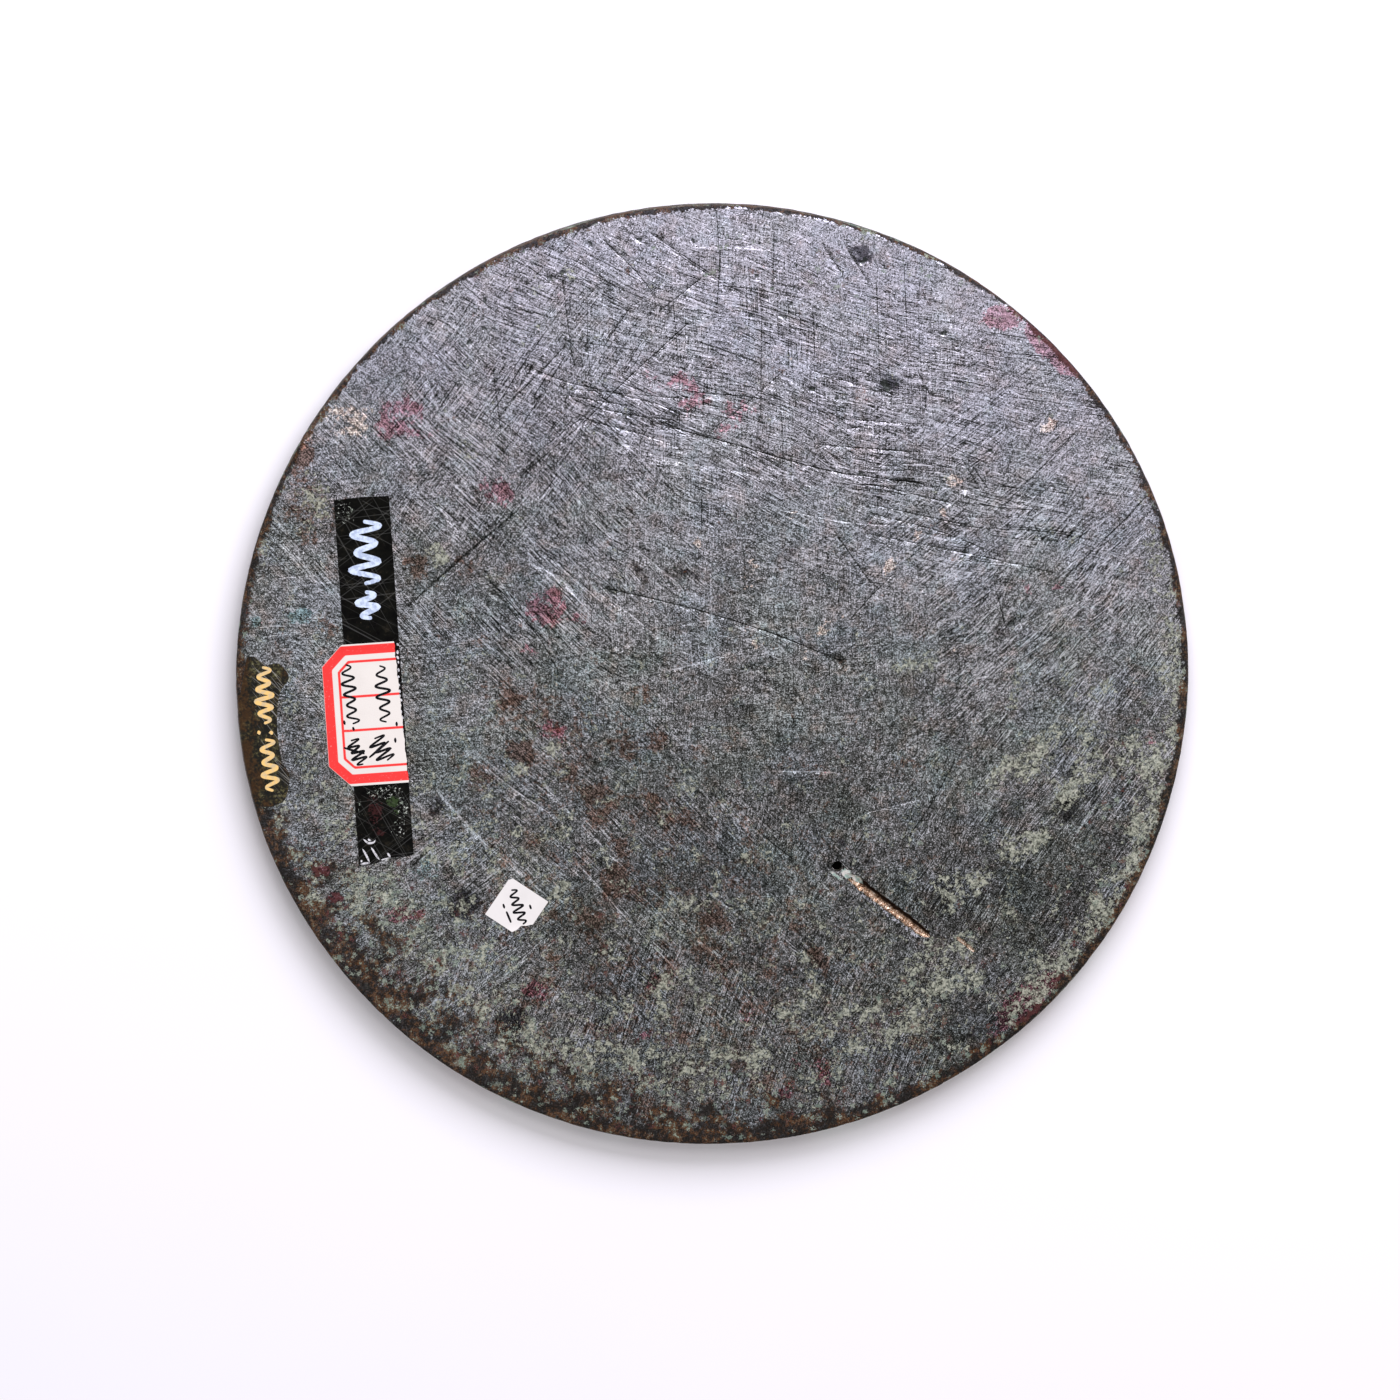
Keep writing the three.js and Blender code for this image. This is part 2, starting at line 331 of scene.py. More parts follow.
def distance_to(x, y, course):
    """How far each place is from a course of straight steps."""
    nearest = np.full(len(x), np.inf)
    for (x0, y0), (x1, y1) in zip(course, course[1:]):
        dx, dy = x1 - x0, y1 - y0
        share = np.clip(((x - x0) * dx + (y - y0) * dy) / (dx * dx + dy * dy), 0, 1)
        nearest = np.minimum(nearest, np.hypot(x - x0 - share * dx, y - y0 - share * dy))
    return nearest


def wave(start, end, swing, humps):
    """A wavy line from start to end, which swings to each side of the straight line between them."""
    start, end = np.array(start, float), np.array(end, float)
    along = (end - start) / np.linalg.norm(end - start)
    across = np.array([-along[1], along[0]])
    shares = np.linspace(0, 1, 6 * humps + 1)
    return [tuple(start + (end - start) * t + across * swing * (0.8 + 0.2 * math.sin(9 * t + humps))
                  * math.sin(math.pi * humps * t)) for t in shares]


class Stroke:
    """A pen or brush mark: a smooth curve with a width that swells and thins along it."""

    def __init__(self, points, width, taper=0.35):
        self.curve = curve_through(points, step=max(0.15, width / 3))
        share = np.linspace(0, 1, len(self.curve))
        self.half = width / 2 * (1 - taper * np.abs(2 * share - 1) ** 3)

    def outline(self):
        along = np.gradient(self.curve, axis=0)
        along /= np.linalg.norm(along, axis=1)[:, None]
        across = np.stack([-along[:, 1], along[:, 0]], -1)
        caps = []
        for end, sign in ((-1, 1), (0, -1)):
            turns = np.linspace(0, math.pi, 6)[1:-1]
            caps.append([self.curve[end] + sign * self.half[end]
                         * (across[end] * math.cos(t) + along[end] * math.sin(t)) for t in turns])
        left = self.curve + across * self.half[:, None]
        right = self.curve - across * self.half[:, None]
        return np.vstack([left, caps[0], right[::-1], caps[1]])

    def holds(self, points):
        held = np.zeros(len(points), bool)
        for at, half in zip(self.curve, self.half):
            held |= np.hypot(points[:, 0] - at[0], points[:, 1] - at[1]) < half * 1.02
        return held


def marks_hold(strokes, points):
    held = np.zeros(len(points), bool)
    for stroke in strokes:
        held |= stroke.holds(points)
    return held


def dense(outline, step):
    """A closed outline with a point at least every step along its sides."""
    outline = np.asarray(outline, float)
    points = []
    for a, b in zip(outline, np.roll(outline, -1, axis=0)):
        count = max(1, round(np.linalg.norm(b - a) / step))
        points += [a + (b - a) * i / count for i in range(count)]
    return np.array(points)


def sheet(name, outline, step, height, thickness, material, marks=()):
    """A thin closed sheet over an outline. Height gives its top, and a mark is its strokes and material."""
    strokes = [stroke for group, _ in marks for stroke in group]
    border = dense(outline, step)
    low, high = border.min(axis=0), border.max(axis=0)
    points = scattered(low, high, step, lambda x, y: np.full(len(x), step))
    gap = np.min(np.hypot(*(points[:, None] - border[None]).transpose(2, 0, 1)), axis=1)
    points = points[inside(points, border) & (gap > 0.5 * step)]
    verts, faces = triangulated(points, [border] + [s.outline() for s in strokes])
    middles = verts[faces].mean(axis=1)
    faces = faces[inside(middles, border)]
    middles = verts[faces].mean(axis=1)
    face_materials = np.zeros(len(faces), int)
    for number, (group, _) in enumerate(marks, start=1):
        face_materials[marks_hold(group, middles)] = number
    top = np.column_stack([verts, height(verts[:, 0], verts[:, 1])])
    under = top - (0, 0, thickness)
    count = len(top)
    sides = {}
    for a, b, c in faces:
        for start, end in ((a, b), (b, c), (c, a)):
            if (end, start) in sides:
                del sides[end, start]
            else:
                sides[start, end] = True
    walls = [(b, a, a + count, b + count) for a, b in sides]
    all_faces = faces.tolist() + (faces[:, ::-1] + count).tolist() + walls
    materials_of = np.concatenate([face_materials, np.zeros(len(faces) + len(walls), int)])
    materials = [material] + [ink_or_paint for _, ink_or_paint in marks]
    return mesh_object(name, np.vstack([top, under]), all_faces, materials, materials_of)


# ---------------------------------------------------------------- shader nodes

class Shader:
    """A material under construction. Each method adds a node and gives its output."""

    def __init__(self, name):
        self.material = bpy.data.materials.new(name)
        self.material.use_nodes = True
        self.tree = self.material.node_tree
        self.tree.nodes.clear()

    def node(self, kind, inputs=(), **settings):
        made = self.tree.nodes.new(kind)
        for key, value in settings.items():
            setattr(made, key, value)
        for key, value in dict(inputs).items():
            self.feed(made.inputs[key], value)
        return made

    def feed(self, socket, value):
        if isinstance(value, bpy.types.NodeSocket):
            self.tree.links.new(value, socket)
        else:
            socket.default_value = value

    def math(self, operation, *values):
        return self.node("ShaderNodeMath", enumerate(values), operation=operation).outputs[0]

    def folded(self, operation, values):
        total = values[0]
        for value in values[1:]:
            total = self.math(operation, total, value)
        return total

    def add(self, *values):
        return self.folded("ADD", values)

    def times(self, *values):
        return self.folded("MULTIPLY", values)

    def scaled(self, value, factor, offset=0.0):
        return self.math("MULTIPLY_ADD", value, factor, offset)

    def centred(self, value, swing):
        """A value from 0 to 1, moved to swing evenly to both sides of 0."""
        return self.scaled(value, swing, -swing / 2)

    def vector(self, operation, *values):
        return self.node("ShaderNodeVectorMath", enumerate(values), operation=operation).outputs[0]

    def lengthened(self, vector, scale):
        return self.node("ShaderNodeVectorMath", {0: vector, "Scale": scale}, operation="SCALE").outputs[0]

    def smooth(self, value, low, high, to_low=0.0, to_high=1.0):
        inputs = {"Value": value, "From Min": low, "From Max": high, "To Min": to_low, "To Max": to_high}
        return self.node("ShaderNodeMapRange", inputs, interpolation_type="SMOOTHSTEP").outputs[0]

    def mix(self, share, first, second, blend="MIX"):
        made = self.node("ShaderNodeMix", data_type="RGBA", blend_type=blend)
        self.feed(made.inputs[0], share)
        for socket, value in ((made.inputs[6], first), (made.inputs[7], second)):
            self.feed(socket, value if isinstance(value, bpy.types.NodeSocket) else (*value, 1))
        return made.outputs[2]

    def ramp(self, value, *stops):
        made = self.node("ShaderNodeValToRGB", {"Fac": value})
        elements = made.color_ramp.elements
        while len(elements) < len(stops):
            elements.new(0.5)
        for element, (at, color) in zip(elements, stops):
            element.position = at
            element.color = (*color, 1)
        return made.outputs[0]

    def millimetres(self):
        """The place on the object, in millimetres."""
        return self.lengthened(self.node("ShaderNodeTexCoord").outputs["Object"], 1 / MM)

    def parts(self, vector):
        return self.node("ShaderNodeSeparateXYZ", {0: vector}).outputs

    def noise(self, place, size, detail=2.0, roughness=0.5, output=0, flat=False):
        """Noise with features of about this size. Where it is flat, it is the same at every height."""
        inputs = {"Vector": place, "Scale": 1 / size, "Detail": detail, "Roughness": roughness}
        dimensions = "2D" if flat else "3D"
        return self.node("ShaderNodeTexNoise", inputs, noise_dimensions=dimensions).outputs[output]

    def noises(self, place, size, detail=2.0, roughness=0.5, flat=False):
        """Three noises of one size, which don't match."""
        return self.parts(self.noise(place, size, detail, roughness, output=1, flat=flat))

    def cells(self, place, size=1.0):
        """Flat cells about this wide: how far each place is from its cell's middle, and a random colour."""
        inputs = {"Vector": place, "Scale": 1 / size}
        made = self.node("ShaderNodeTexVoronoi", inputs, voronoi_dimensions="2D")
        return made.outputs["Distance"], made.outputs["Color"]

    def attribute(self, name):
        return self.node("ShaderNodeAttribute", attribute_name=name).outputs["Fac"]

    def streaks(self, place, turn, length, width, seed):
        """Long thin cells that lie one way, such as scratches: three random numbers for each."""
        inputs = {"Vector": place, "Location": (seed * 31.7, seed * 17.3, 0),
                  "Rotation": (0, 0, math.radians(turn)), "Scale": (length, width, 1)}
        drawn_out = self.node("ShaderNodeMapping", inputs, vector_type="TEXTURE").outputs[0]
        return self.parts(self.cells(drawn_out)[1])

    def bump(self, height, strength, distance):
        inputs = {"Height": height, "Strength": strength, "Distance": distance * MM}
        return self.node("ShaderNodeBump", inputs).outputs[0]

    def finish(self, **inputs):
        named = {key.replace("_", " "): value for key, value in inputs.items()}
        shader = self.node("ShaderNodeBsdfPrincipled", named)
        self.node("ShaderNodeOutputMaterial", {"Surface": shader.outputs[0]})
        return self.material


def cross_direction(turn):
    """The way that a streak lying at this turn tilts the surface."""
    angle = math.radians(turn)
    return -math.sin(angle), math.cos(angle), 0


# ---------------------------------------------------------------- the worn face

# Fine parallel scratches: short ones that cover the face as hatching, and longer, deeper ones among them.
HATCH_LENGTH, HATCH_WIDTH = 2.6, 0.14
CUT_LENGTH, CUT_WIDTH = 30.0, 0.16

# Thin stains: which blotches and flecks fray each, how much the flecks do, its tint, how much of it shows on
# dull metal, and how much less on polished metal, where the painted sheen lies.
THIN_STAINS = [
    ("dark", 1, 0, 1.4, (0.17, 0.17, 0.19), 0.92, 0.0),
    ("teal", 2, 1, 1.7, (0.70, 1.00, 1.02), 0.80, 0.0),
    ("brown", 0, 1, 2.0, (0.56, 0.39, 0.32), 0.98, 0.0),
    ("wine", 1, 2, 1.7, (1.08, 0.48, 0.58), 0.95, 0.38),
    ("peach", 2, 0, 1.7, (2.10, 1.62, 1.36), 0.90, 0.0),
]


class WornFace(Shader):
    """The face's material, with the noises that all its layers share."""

    def __init__(self):
        super().__init__("worn_bronze")
        self.place = self.millimetres()
        self.polish = self.attribute("polish")
        self.drift = self.noises(self.place, 17, detail=3, roughness=0.6, flat=True)
        self.blotch = self.noises(self.place, 5.0, detail=4, roughness=0.68, flat=True)
        self.fleck = self.noises(self.place, 1.1, detail=3, roughness=0.72, flat=True)
        self.grain = self.noise(self.place, 0.24, detail=1, roughness=0.6, flat=True)
        self.speck_colour = self.cells(self.place, 0.30)[1]
        self.specks = self.parts(self.speck_colour)

    def shows(self, name, broad, fine, low, high, flecked):
        """Where a stain shows: its mask, frayed by blotches and broken up by flecks."""
        frayed = self.add(
            self.scaled(self.attribute(name), 1.2, -0.36), self.centred(self.blotch[broad], 2.4),
            self.centred(self.fleck[fine], flecked), self.centred(self.grain, 0.6))
        return self.smooth(frayed, low, high)


def hatching(s):
    """The scratches: how much they lighten the metal, and how they tilt the surface.

    The deeper ones carry painted shade toward the top, where the painted sheen is, and painted highlights
    lower down, as scratches show under a light from beyond the top.
    """
    wander = s.lengthened(s.noise(s.place, 38, detail=1, output=1, flat=True), 4.0)
    bent = s.vector("ADD", s.place, wander)
    thin_out = s.noises(s.place, 13, flat=True)
    tilt = s.vector("MULTIPLY_ADD", s.speck_colour, (0.20, 0.20, 0), (-0.10, -0.10, 0))
    shade = s.centred(s.specks[2], 0.46)
    # Painted light: toward the top the deeper scratches are shaded and all of them show more strongly, and
    # lower down they are lit.
    painted_shade_bias = s.smooth(s.polish, 0.1, 0.85, 0.36, 0.82)
    cut_gain = s.smooth(s.polish, 0.1, 0.8, 0.60, 1.0)
    cut_share = s.scaled(s.polish, 0.05, 0.045)
    hatch_gain = s.scaled(s.polish, 0.28, 0.52)
    for number, (turn, _) in enumerate(LAYS):
        share = s.times(s.scaled(s.attribute(f"lay_{number}"), 0.90, 0.06),
                        s.smooth(thin_out[number % 3], 0.36, 0.62, 0.3, 1.0))
        hatch = s.streaks(bent, turn, HATCH_LENGTH, HATCH_WIDTH, number + 31)
        chance, side, light = s.streaks(bent, turn + 5, CUT_LENGTH, CUT_WIDTH, number + 1)
        cut = s.smooth(s.add(chance, s.times(share, cut_share)), 1.0, 1.02)
        leaning = s.add(s.times(share, s.centred(hatch[1], 0.24)), s.times(cut, s.centred(side, 0.3)))
        tilt = s.vector("MULTIPLY_ADD", leaning, cross_direction(turn), tilt)
        line = s.centred(hatch[0], 2.0)
        shade = s.add(shade, s.times(share, line, line, line, hatch_gain),
                      s.times(cut, s.math("SUBTRACT", light, painted_shade_bias), cut_gain))
    return shade, tilt


def bare_metal(s, shade):
    """The metal's colour: dull and a little green where it is not polished, and pale, cool and lighter toward
    the top, where the polish carries a painted sheen.
    """
    quieter = s.smooth(s.polish, 0.1, 0.8, 1.0, 0.5)
    # The tone rises toward the top: partly polish, and partly a painted sheen of the light from beyond the
    # top.
    tone = s.add(
        s.scaled(s.polish, 0.375, 0.485),
        s.centred(s.grain, 1.5),
        s.times(s.centred(s.fleck[0], 0.8), quieter),
        s.times(s.centred(s.blotch[0], 0.5), quieter),
        s.times(s.centred(s.drift[0], 0.3), quieter),
        shade,
        s.times(s.attribute("scratch"), 0.9),
        s.times(s.attribute("dim"), -0.15),
    )
    # The palest, coolest stops give the painted sheen its lavender.
    metal = s.ramp(
        tone,
        (0.0, (0.007, 0.007, 0.007)),
        (0.25, (0.030, 0.030, 0.030)),
        (0.5, (0.102, 0.0995, 0.106)),
        (0.75, (0.260, 0.253, 0.288)),
        (1.0, (0.66, 0.64, 0.745)),
    )
    # Low on the face, away from the painted sheen, the metal is made a little greener and less cool.
    metal = s.mix(s.smooth(s.polish, 0.15, 0.95), s.mix(1.0, metal, (1.02, 1.05, 0.95), "MULTIPLY"), metal)
    for patch, tint in (
        (s.smooth(s.drift[1], 0.45, 0.65, 0.0, 0.7), (0.92, 0.99, 0.92)),
        (s.smooth(s.drift[2], 0.45, 0.65, 0.0, 0.7), (0.88, 0.955, 1.02)),
        (s.smooth(s.blotch[1], 0.5, 0.68, 0.0, 0.8), (0.92, 0.80, 0.72)),
        (s.smooth(s.blotch[2], 0.52, 0.66, 0.0, 0.6), (0.84, 0.98, 0.98)),
    ):
        metal = s.mix(s.times(patch, quieter), metal, tint, "MULTIPLY")
    return metal


def stained(s, colour):
    for name, broad, fine, flecked, tint, dull_share, less in THIN_STAINS:
        shown = s.shows(name, broad, fine, 0.40, 0.62, flecked)
        colour = s.mix(s.times(shown, s.scaled(s.polish, -less, dull_share)), colour, tint, "MULTIPLY")
    return colour


def crumbled(s, colour):
    """Adds the pale green deposit, the rim's crust and the loose crumbs, and says how much they cover."""
    creamy = s.shows("cream", 2, 1, 0.42, 0.54, 2.0)
    pale = s.ramp(
        s.add(s.fleck[2], s.centred(s.specks[0], 0.4)),
        (0.26, (0.040, 0.034, 0.025)),
        (0.42, (0.19, 0.20, 0.157)),
        (0.55, (0.35, 0.365, 0.29)),
        (0.76, (0.54, 0.54, 0.44)),
    )
    colour = s.mix(s.times(creamy, 0.82), colour, pale)

    crusted = s.shows("crust", 1, 0, 0.40, 0.52, 1.6)
    earth = s.ramp(
        s.add(s.scaled(s.fleck[1], 0.7, 0.15), s.centred(s.blotch[2], 1.1), s.centred(s.grain, 0.3)),
        (0.36, (0.006, 0.0045, 0.0035)),
        (0.50, (0.016, 0.010, 0.006)),
        (0.59, (0.056, 0.025, 0.010)),
        (0.65, (0.125, 0.052, 0.018)),
        (0.69, (0.045, 0.036, 0.024)),
        (0.76, (0.20, 0.225, 0.170)),
        (0.88, (0.40, 0.42, 0.34)),
    )
    reddened = s.times(s.shows("wine", 1, 2, 0.46, 0.62, 1.2), 0.85)
    earth = s.mix(reddened, earth, s.mix(s.fleck[1], (0.022, 0.007, 0.006), (0.12, 0.034, 0.034)))
    colour = s.mix(s.times(crusted, 0.94), colour, earth)

    fray = s.noise(s.place, 0.5, roughness=0.7, output=1, flat=True)
    ragged = s.vector("MULTIPLY_ADD", fray, (2.4, 2.4, 0), s.place)
    from_middle, cell = s.cells(ragged, 1.3)
    chance, kind, wide = s.parts(cell)
    crumb = s.times(s.smooth(s.math("SUBTRACT", s.scaled(wide, 0.34, 0.14), from_middle), 0.0, 0.06),
                    s.smooth(s.math("SUBTRACT", s.attribute("crumbs"), chance), 0.0, 0.04))
    crumb_colour = s.ramp(
        s.add(kind, s.centred(s.grain, 0.9)),
        (0.12, (0.14, 0.18, 0.145)),
        (0.40, (0.34, 0.375, 0.30)),
        (0.55, (0.10, 0.13, 0.115)),
        (0.66, (0.12, 0.05, 0.018)),
        (0.76, (0.15, 0.045, 0.055)),
        (0.88, (0.010, 0.007, 0.005)),
    )
    colour = s.mix(s.times(crumb, 0.85), colour, crumb_colour)
    return colour, s.add(s.times(crusted, 0.9), s.times(creamy, 0.5), crumb)


def damaged(s, colour):
    """Adds pits, the bare copper of the gouge with painted shadow on its upper wall, white salts by the hole,
    and the burr.
    """
    grain, fleck = s.grain, s.fleck
    pitted = s.smooth(s.add(s.attribute("pitted"), s.centred(fleck[1], 1.6)), 0.34, 0.56)
    colour = s.mix(s.times(pitted, 0.85), colour, s.mix(fleck[0], (0.010, 0.012, 0.011), (0.05, 0.06, 0.052)))
    copper = s.ramp(
        s.add(s.scaled(grain, 1.1, -0.05), s.centred(fleck[0], 1.2)),
        (0.24, (0.045, 0.022, 0.012)),
        (0.42, (0.27, 0.155, 0.092)),
        (0.60, (0.52, 0.35, 0.235)),
        (0.80, (0.85, 0.74, 0.64)),
    )
    colour = s.mix(s.attribute("copper"), colour, copper)
    # Painted shadow: the gouge's upper wall is near black, as if the light from beyond the top didn't reach
    # it.
    colour = s.mix(s.attribute("wall"), colour, s.mix(grain, (0.002, 0.001, 0.001), (0.03, 0.014, 0.007)))
    salty = s.smooth(s.add(s.attribute("salts"), s.centred(grain, 1.0)), 0.42, 0.58)
    salts = s.ramp(fleck[1], (0.4, (0.44, 0.60, 0.54)), (0.6, (0.88, 0.84, 0.80)))
    colour = s.mix(salty, colour, salts)
    burr = s.times(s.attribute("burr"), s.add(s.scaled(fleck[2], 4.0, -1.2), s.centred(grain, 2.0)))
    return s.mix(s.times(s.smooth(burr, 0.7, 1.0), 0.85), colour, (0.66, 0.66, 0.74))


def bronze():
    """The worn face: grey metal hatched with scratches, with a painted sheen toward the top, under stains,
    crumbs and the crust of the rim.
    """
    s = WornFace()
    shade, tilt = hatching(s)
    colour, covered = crumbled(s, stained(s, bare_metal(s, shade)))
    leaning = s.lengthened(tilt, s.smooth(covered, 0.2, 0.9, 1.0, 0.3))
    grit = s.noise(s.place, 0.9, detail=3, roughness=0.75, flat=True)
    rippled = s.bump(grit, s.smooth(covered, 0.0, 1.0, 0.35, 1.0), 0.10)
    return s.finish(
        Base_Color=damaged(s, colour),
        Metallic=s.smooth(covered, 0.0, 1.0, 0.75, 0.05),
        Roughness=s.add(s.smooth(covered, 0.0, 1.0, 0.36, 0.80), s.centred(s.fleck[1], 0.3)),
        Normal=s.vector("NORMALIZE", s.vector("ADD", rippled, leaning)),
        Specular_IOR_Level=0.15,
    )


# ---------------------------------------------------------------- the other materials

def patina():
    """The side and the underside, which nothing polished: brown and green, with bare metal where worn."""
    s = Shader("brown_patina")
    place = s.millimetres()
    cloud = s.noises(place, 14, detail=3)
    blotch = s.noises(place, 3.6, detail=4, roughness=0.65)
    fleck = s.noises(place, 0.9, detail=3, roughness=0.7)
    colour = s.ramp(
        s.add(s.scaled(blotch[0], 0.9, 0.05), s.centred(fleck[0], 0.7), s.centred(cloud[0], 0.6)),
        (0.28, (0.009, 0.006, 0.005)),
        (0.44, (0.026, 0.018, 0.013)),
        (0.56, (0.054, 0.039, 0.028)),
        (0.70, (0.105, 0.085, 0.065)),
        (0.86, (0.20, 0.19, 0.16)),
    )
    greened = s.add(s.centred(cloud[1], 1.6), s.centred(blotch[1], 1.8), s.scaled(fleck[1], 1.6, -0.3))
    green = s.ramp(
        fleck[2], (0.32, (0.055, 0.085, 0.066)), (0.5, (0.16, 0.21, 0.165)), (0.68, (0.34, 0.39, 0.31)))
    colour = s.mix(s.times(s.smooth(greened, 0.62, 0.80), 0.85), colour, green)
    rusted = s.smooth(s.add(s.centred(cloud[2], 1.6), s.centred(blotch[2], 1.8), fleck[0]), 0.62, 0.78)
    rust = s.mix(fleck[1], (0.030, 0.014, 0.008), (0.125, 0.055, 0.026))
    colour = s.mix(s.times(rusted, 0.8), colour, rust)
    bare = s.smooth(s.add(s.attribute("worn"), s.centred(blotch[2], 1.6), s.centred(fleck[1], 1.6)), 0.5, 0.8)
    metal = s.ramp(
        fleck[2], (0.3, (0.075, 0.070, 0.062)), (0.5, (0.21, 0.20, 0.19)), (0.7, (0.40, 0.38, 0.38)))
    colour = s.mix(s.times(bare, 0.85), colour, metal)
    lumps = s.noise(place, 1.6, detail=4, roughness=0.65)
    return s.finish(
        Base_Color=colour,
        Metallic=s.smooth(bare, 0.0, 1.0, 0.1, 0.75),
        Roughness=s.add(s.smooth(bare, 0.0, 1.0, 0.72, 0.40), s.centred(fleck[0], 0.2)),
        Normal=s.bump(lumps, s.smooth(bare, 0.0, 1.0, 0.9, 0.35), 0.28),
        Specular_IOR_Level=0.3,
    )


def varnish():
    """A thick olive black varnish, amber toward the rim, with crumbs under it and scratches through it."""
    s = Shader("dark_varnish")
    place = s.millimetres()
    mottle = s.noise(place, 1.8, detail=4, roughness=0.65)
    fleck = s.noise(place, 0.55, detail=3, roughness=0.7)
    wide = s.noise(place, 3.5, detail=2)
    crust = s.attribute("crust")
    colour = s.ramp(
        s.add(s.scaled(mottle, 0.7, 0.12), s.centred(fleck, 1.2)),
        (0.30, (0.003, 0.003, 0.002)),
        (0.48, (0.011, 0.009, 0.004)),
        (0.60, (0.042, 0.036, 0.013)),
        (0.72, (0.13, 0.125, 0.055)),
        (0.84, (0.36, 0.36, 0.24)),
    )
    amber = s.smooth(s.add(s.centred(crust, 0.3), s.centred(wide, 1.4), s.scaled(fleck, 0.8)), 0.35, 0.65)
    colour = s.mix(s.times(amber, 0.8), colour, s.mix(fleck, (0.006, 0.003, 0.001), (0.085, 0.034, 0.006)))
    worn = s.smooth(crust, 0.3, 0.0, 0.0, 0.6)
    for seed, turn in enumerate((-40, -52)):
        cut = s.smooth(s.streaks(place, turn, 6, 0.11, seed + 50)[0], 0.93, 0.96)
        colour = s.mix(s.times(cut, worn), colour, (0.30, 0.29, 0.27))
    normal = s.bump(s.add(mottle, s.times(fleck, 0.5)), 0.6, 0.14)
    rough = s.scaled(mottle, 0.3, 0.08)
    return s.finish(Base_Color=colour, Roughness=rough, Normal=normal, Specular_IOR_Level=0.3)


def crease_glints_and_crumbs():
    """Pale silvery marks: painted highlights along the film's creases, and the paper crumbs that the label's
    torn edge left.
    """
    s = Shader("crease_glint_and_crumb")
    cover = s.noise(s.millimetres(), 0.4, detail=3, roughness=0.7)
    colour = s.ramp(cover, (0.34, (0.10, 0.10, 0.10)), (0.46, (0.62, 0.61, 0.64)), (0.7, (0.86, 0.85, 0.88)))
    return s.finish(Base_Color=colour, Roughness=0.35, Normal=s.bump(cover, 0.4, 0.06))


def brush_paint(name, thin, thick):
    """Brushed paint: thick in the middle of a stroke, thin and worn elsewhere."""
    s = Shader(name)
    place = s.millimetres()
    cover = s.noise(place, 0.9, detail=3, roughness=0.6)
    colour = s.mix(s.smooth(cover, 0.35, 0.62), thin, thick)
    return s.finish(Base_Color=colour, Roughness=0.45, Normal=s.bump(s.noise(place, 0.5), 0.4, 0.06))


# The film's hairline scratches: the turn, length and width of each set.
HAIRLINES = [(-28, 16, 0.17), (38, 14, 0.16), (-60, 18, 0.17), (8, 12, 0.15)]


def black_film():
    """Glossy black film with hairline scratches, and crumbs of dirt where it is scuffed."""
    s = Shader("black_film")
    place = s.millimetres()
    fleck = s.noise(place, 0.5, detail=3, roughness=0.75)
    wide = s.noises(place, 2.2, detail=3)
    colour = s.ramp(s.add(s.scaled(wide[0], 0.9, 0.05), s.centred(fleck, 0.5)),
                    (0.3, (0.001, 0.001, 0.001)), (0.6, (0.004, 0.004, 0.003)), (0.8, (0.022, 0.018, 0.012)))
    broken = s.add(s.centred(wide[1], 1.6), s.centred(fleck, 3.0))
    rusted = s.smooth(s.add(s.attribute("rusted"), broken), 0.6, 1.0)
    greened = s.smooth(s.add(s.attribute("greened"), broken), 0.75, 1.05)
    colour = s.mix(s.times(rusted, 0.8), colour, s.mix(fleck, (0.010, 0.003, 0.003), (0.070, 0.022, 0.022)))
    colour = s.mix(s.times(greened, 0.7), colour, s.mix(fleck, (0.004, 0.008, 0.003), (0.08, 0.13, 0.05)))
    hairs = 0.0
    tilt = (0.0, 0.0, 0.0)
    for seed, (turn, length, width) in enumerate(HAIRLINES):
        chance, side, _ = s.streaks(place, turn, length, width, seed + 20)
        cut = s.smooth(chance, 0.94, 0.965)
        hairs = s.add(hairs, cut)
        tilt = s.vector("MULTIPLY_ADD", s.times(cut, s.centred(side, 0.6)), cross_direction(turn), tilt)
    colour = s.mix(s.times(hairs, 0.05), colour, (0.5, 0.5, 0.47))
    dirt = s.smooth(s.add(s.attribute("scuffed"), s.centred(fleck, 3.0)), 1.15, 1.35)
    crumbs = s.ramp(wide[2], (0.4, (0.36, 0.42, 0.34)), (0.6, (0.74, 0.76, 0.70)))
    swell = s.bump(s.add(wide[0], s.times(dirt, 0.3)), 0.35, 0.12)
    return s.finish(
        Base_Color=s.mix(s.times(dirt, 0.9), colour, crumbs),
        Roughness=s.add(s.scaled(hairs, 0.15, 0.14), s.times(dirt, 0.5)),
        Normal=s.vector("NORMALIZE", s.vector("ADD", swell, tilt)),
        Specular_IOR_Level=0.07,
    )


def band(s, value, start, end, soft=0.07):
    """1 between start and end, with soft sides."""
    rising = s.smooth(value, start - soft, start + soft)
    return s.times(rising, s.smooth(value, end - soft, end + soft, 1.0, 0.0))


def printed_red(s):
    """Where red is printed: bands that follow the label's edge, and rules across the middle."""
    inset, along = s.attribute("inset"), s.attribute("along")
    frame_inside = FRAME_BANDS[-1][0]
    within = s.smooth(inset, frame_inside, frame_inside + 0.1)
    red = 0.0
    for start, end in FRAME_BANDS:
        red = s.math("MAXIMUM", red, band(s, inset, start, end))
    for start, end in RULE_BANDS:
        red = s.math("MAXIMUM", red, s.times(band(s, along, start, end), within))
    return red


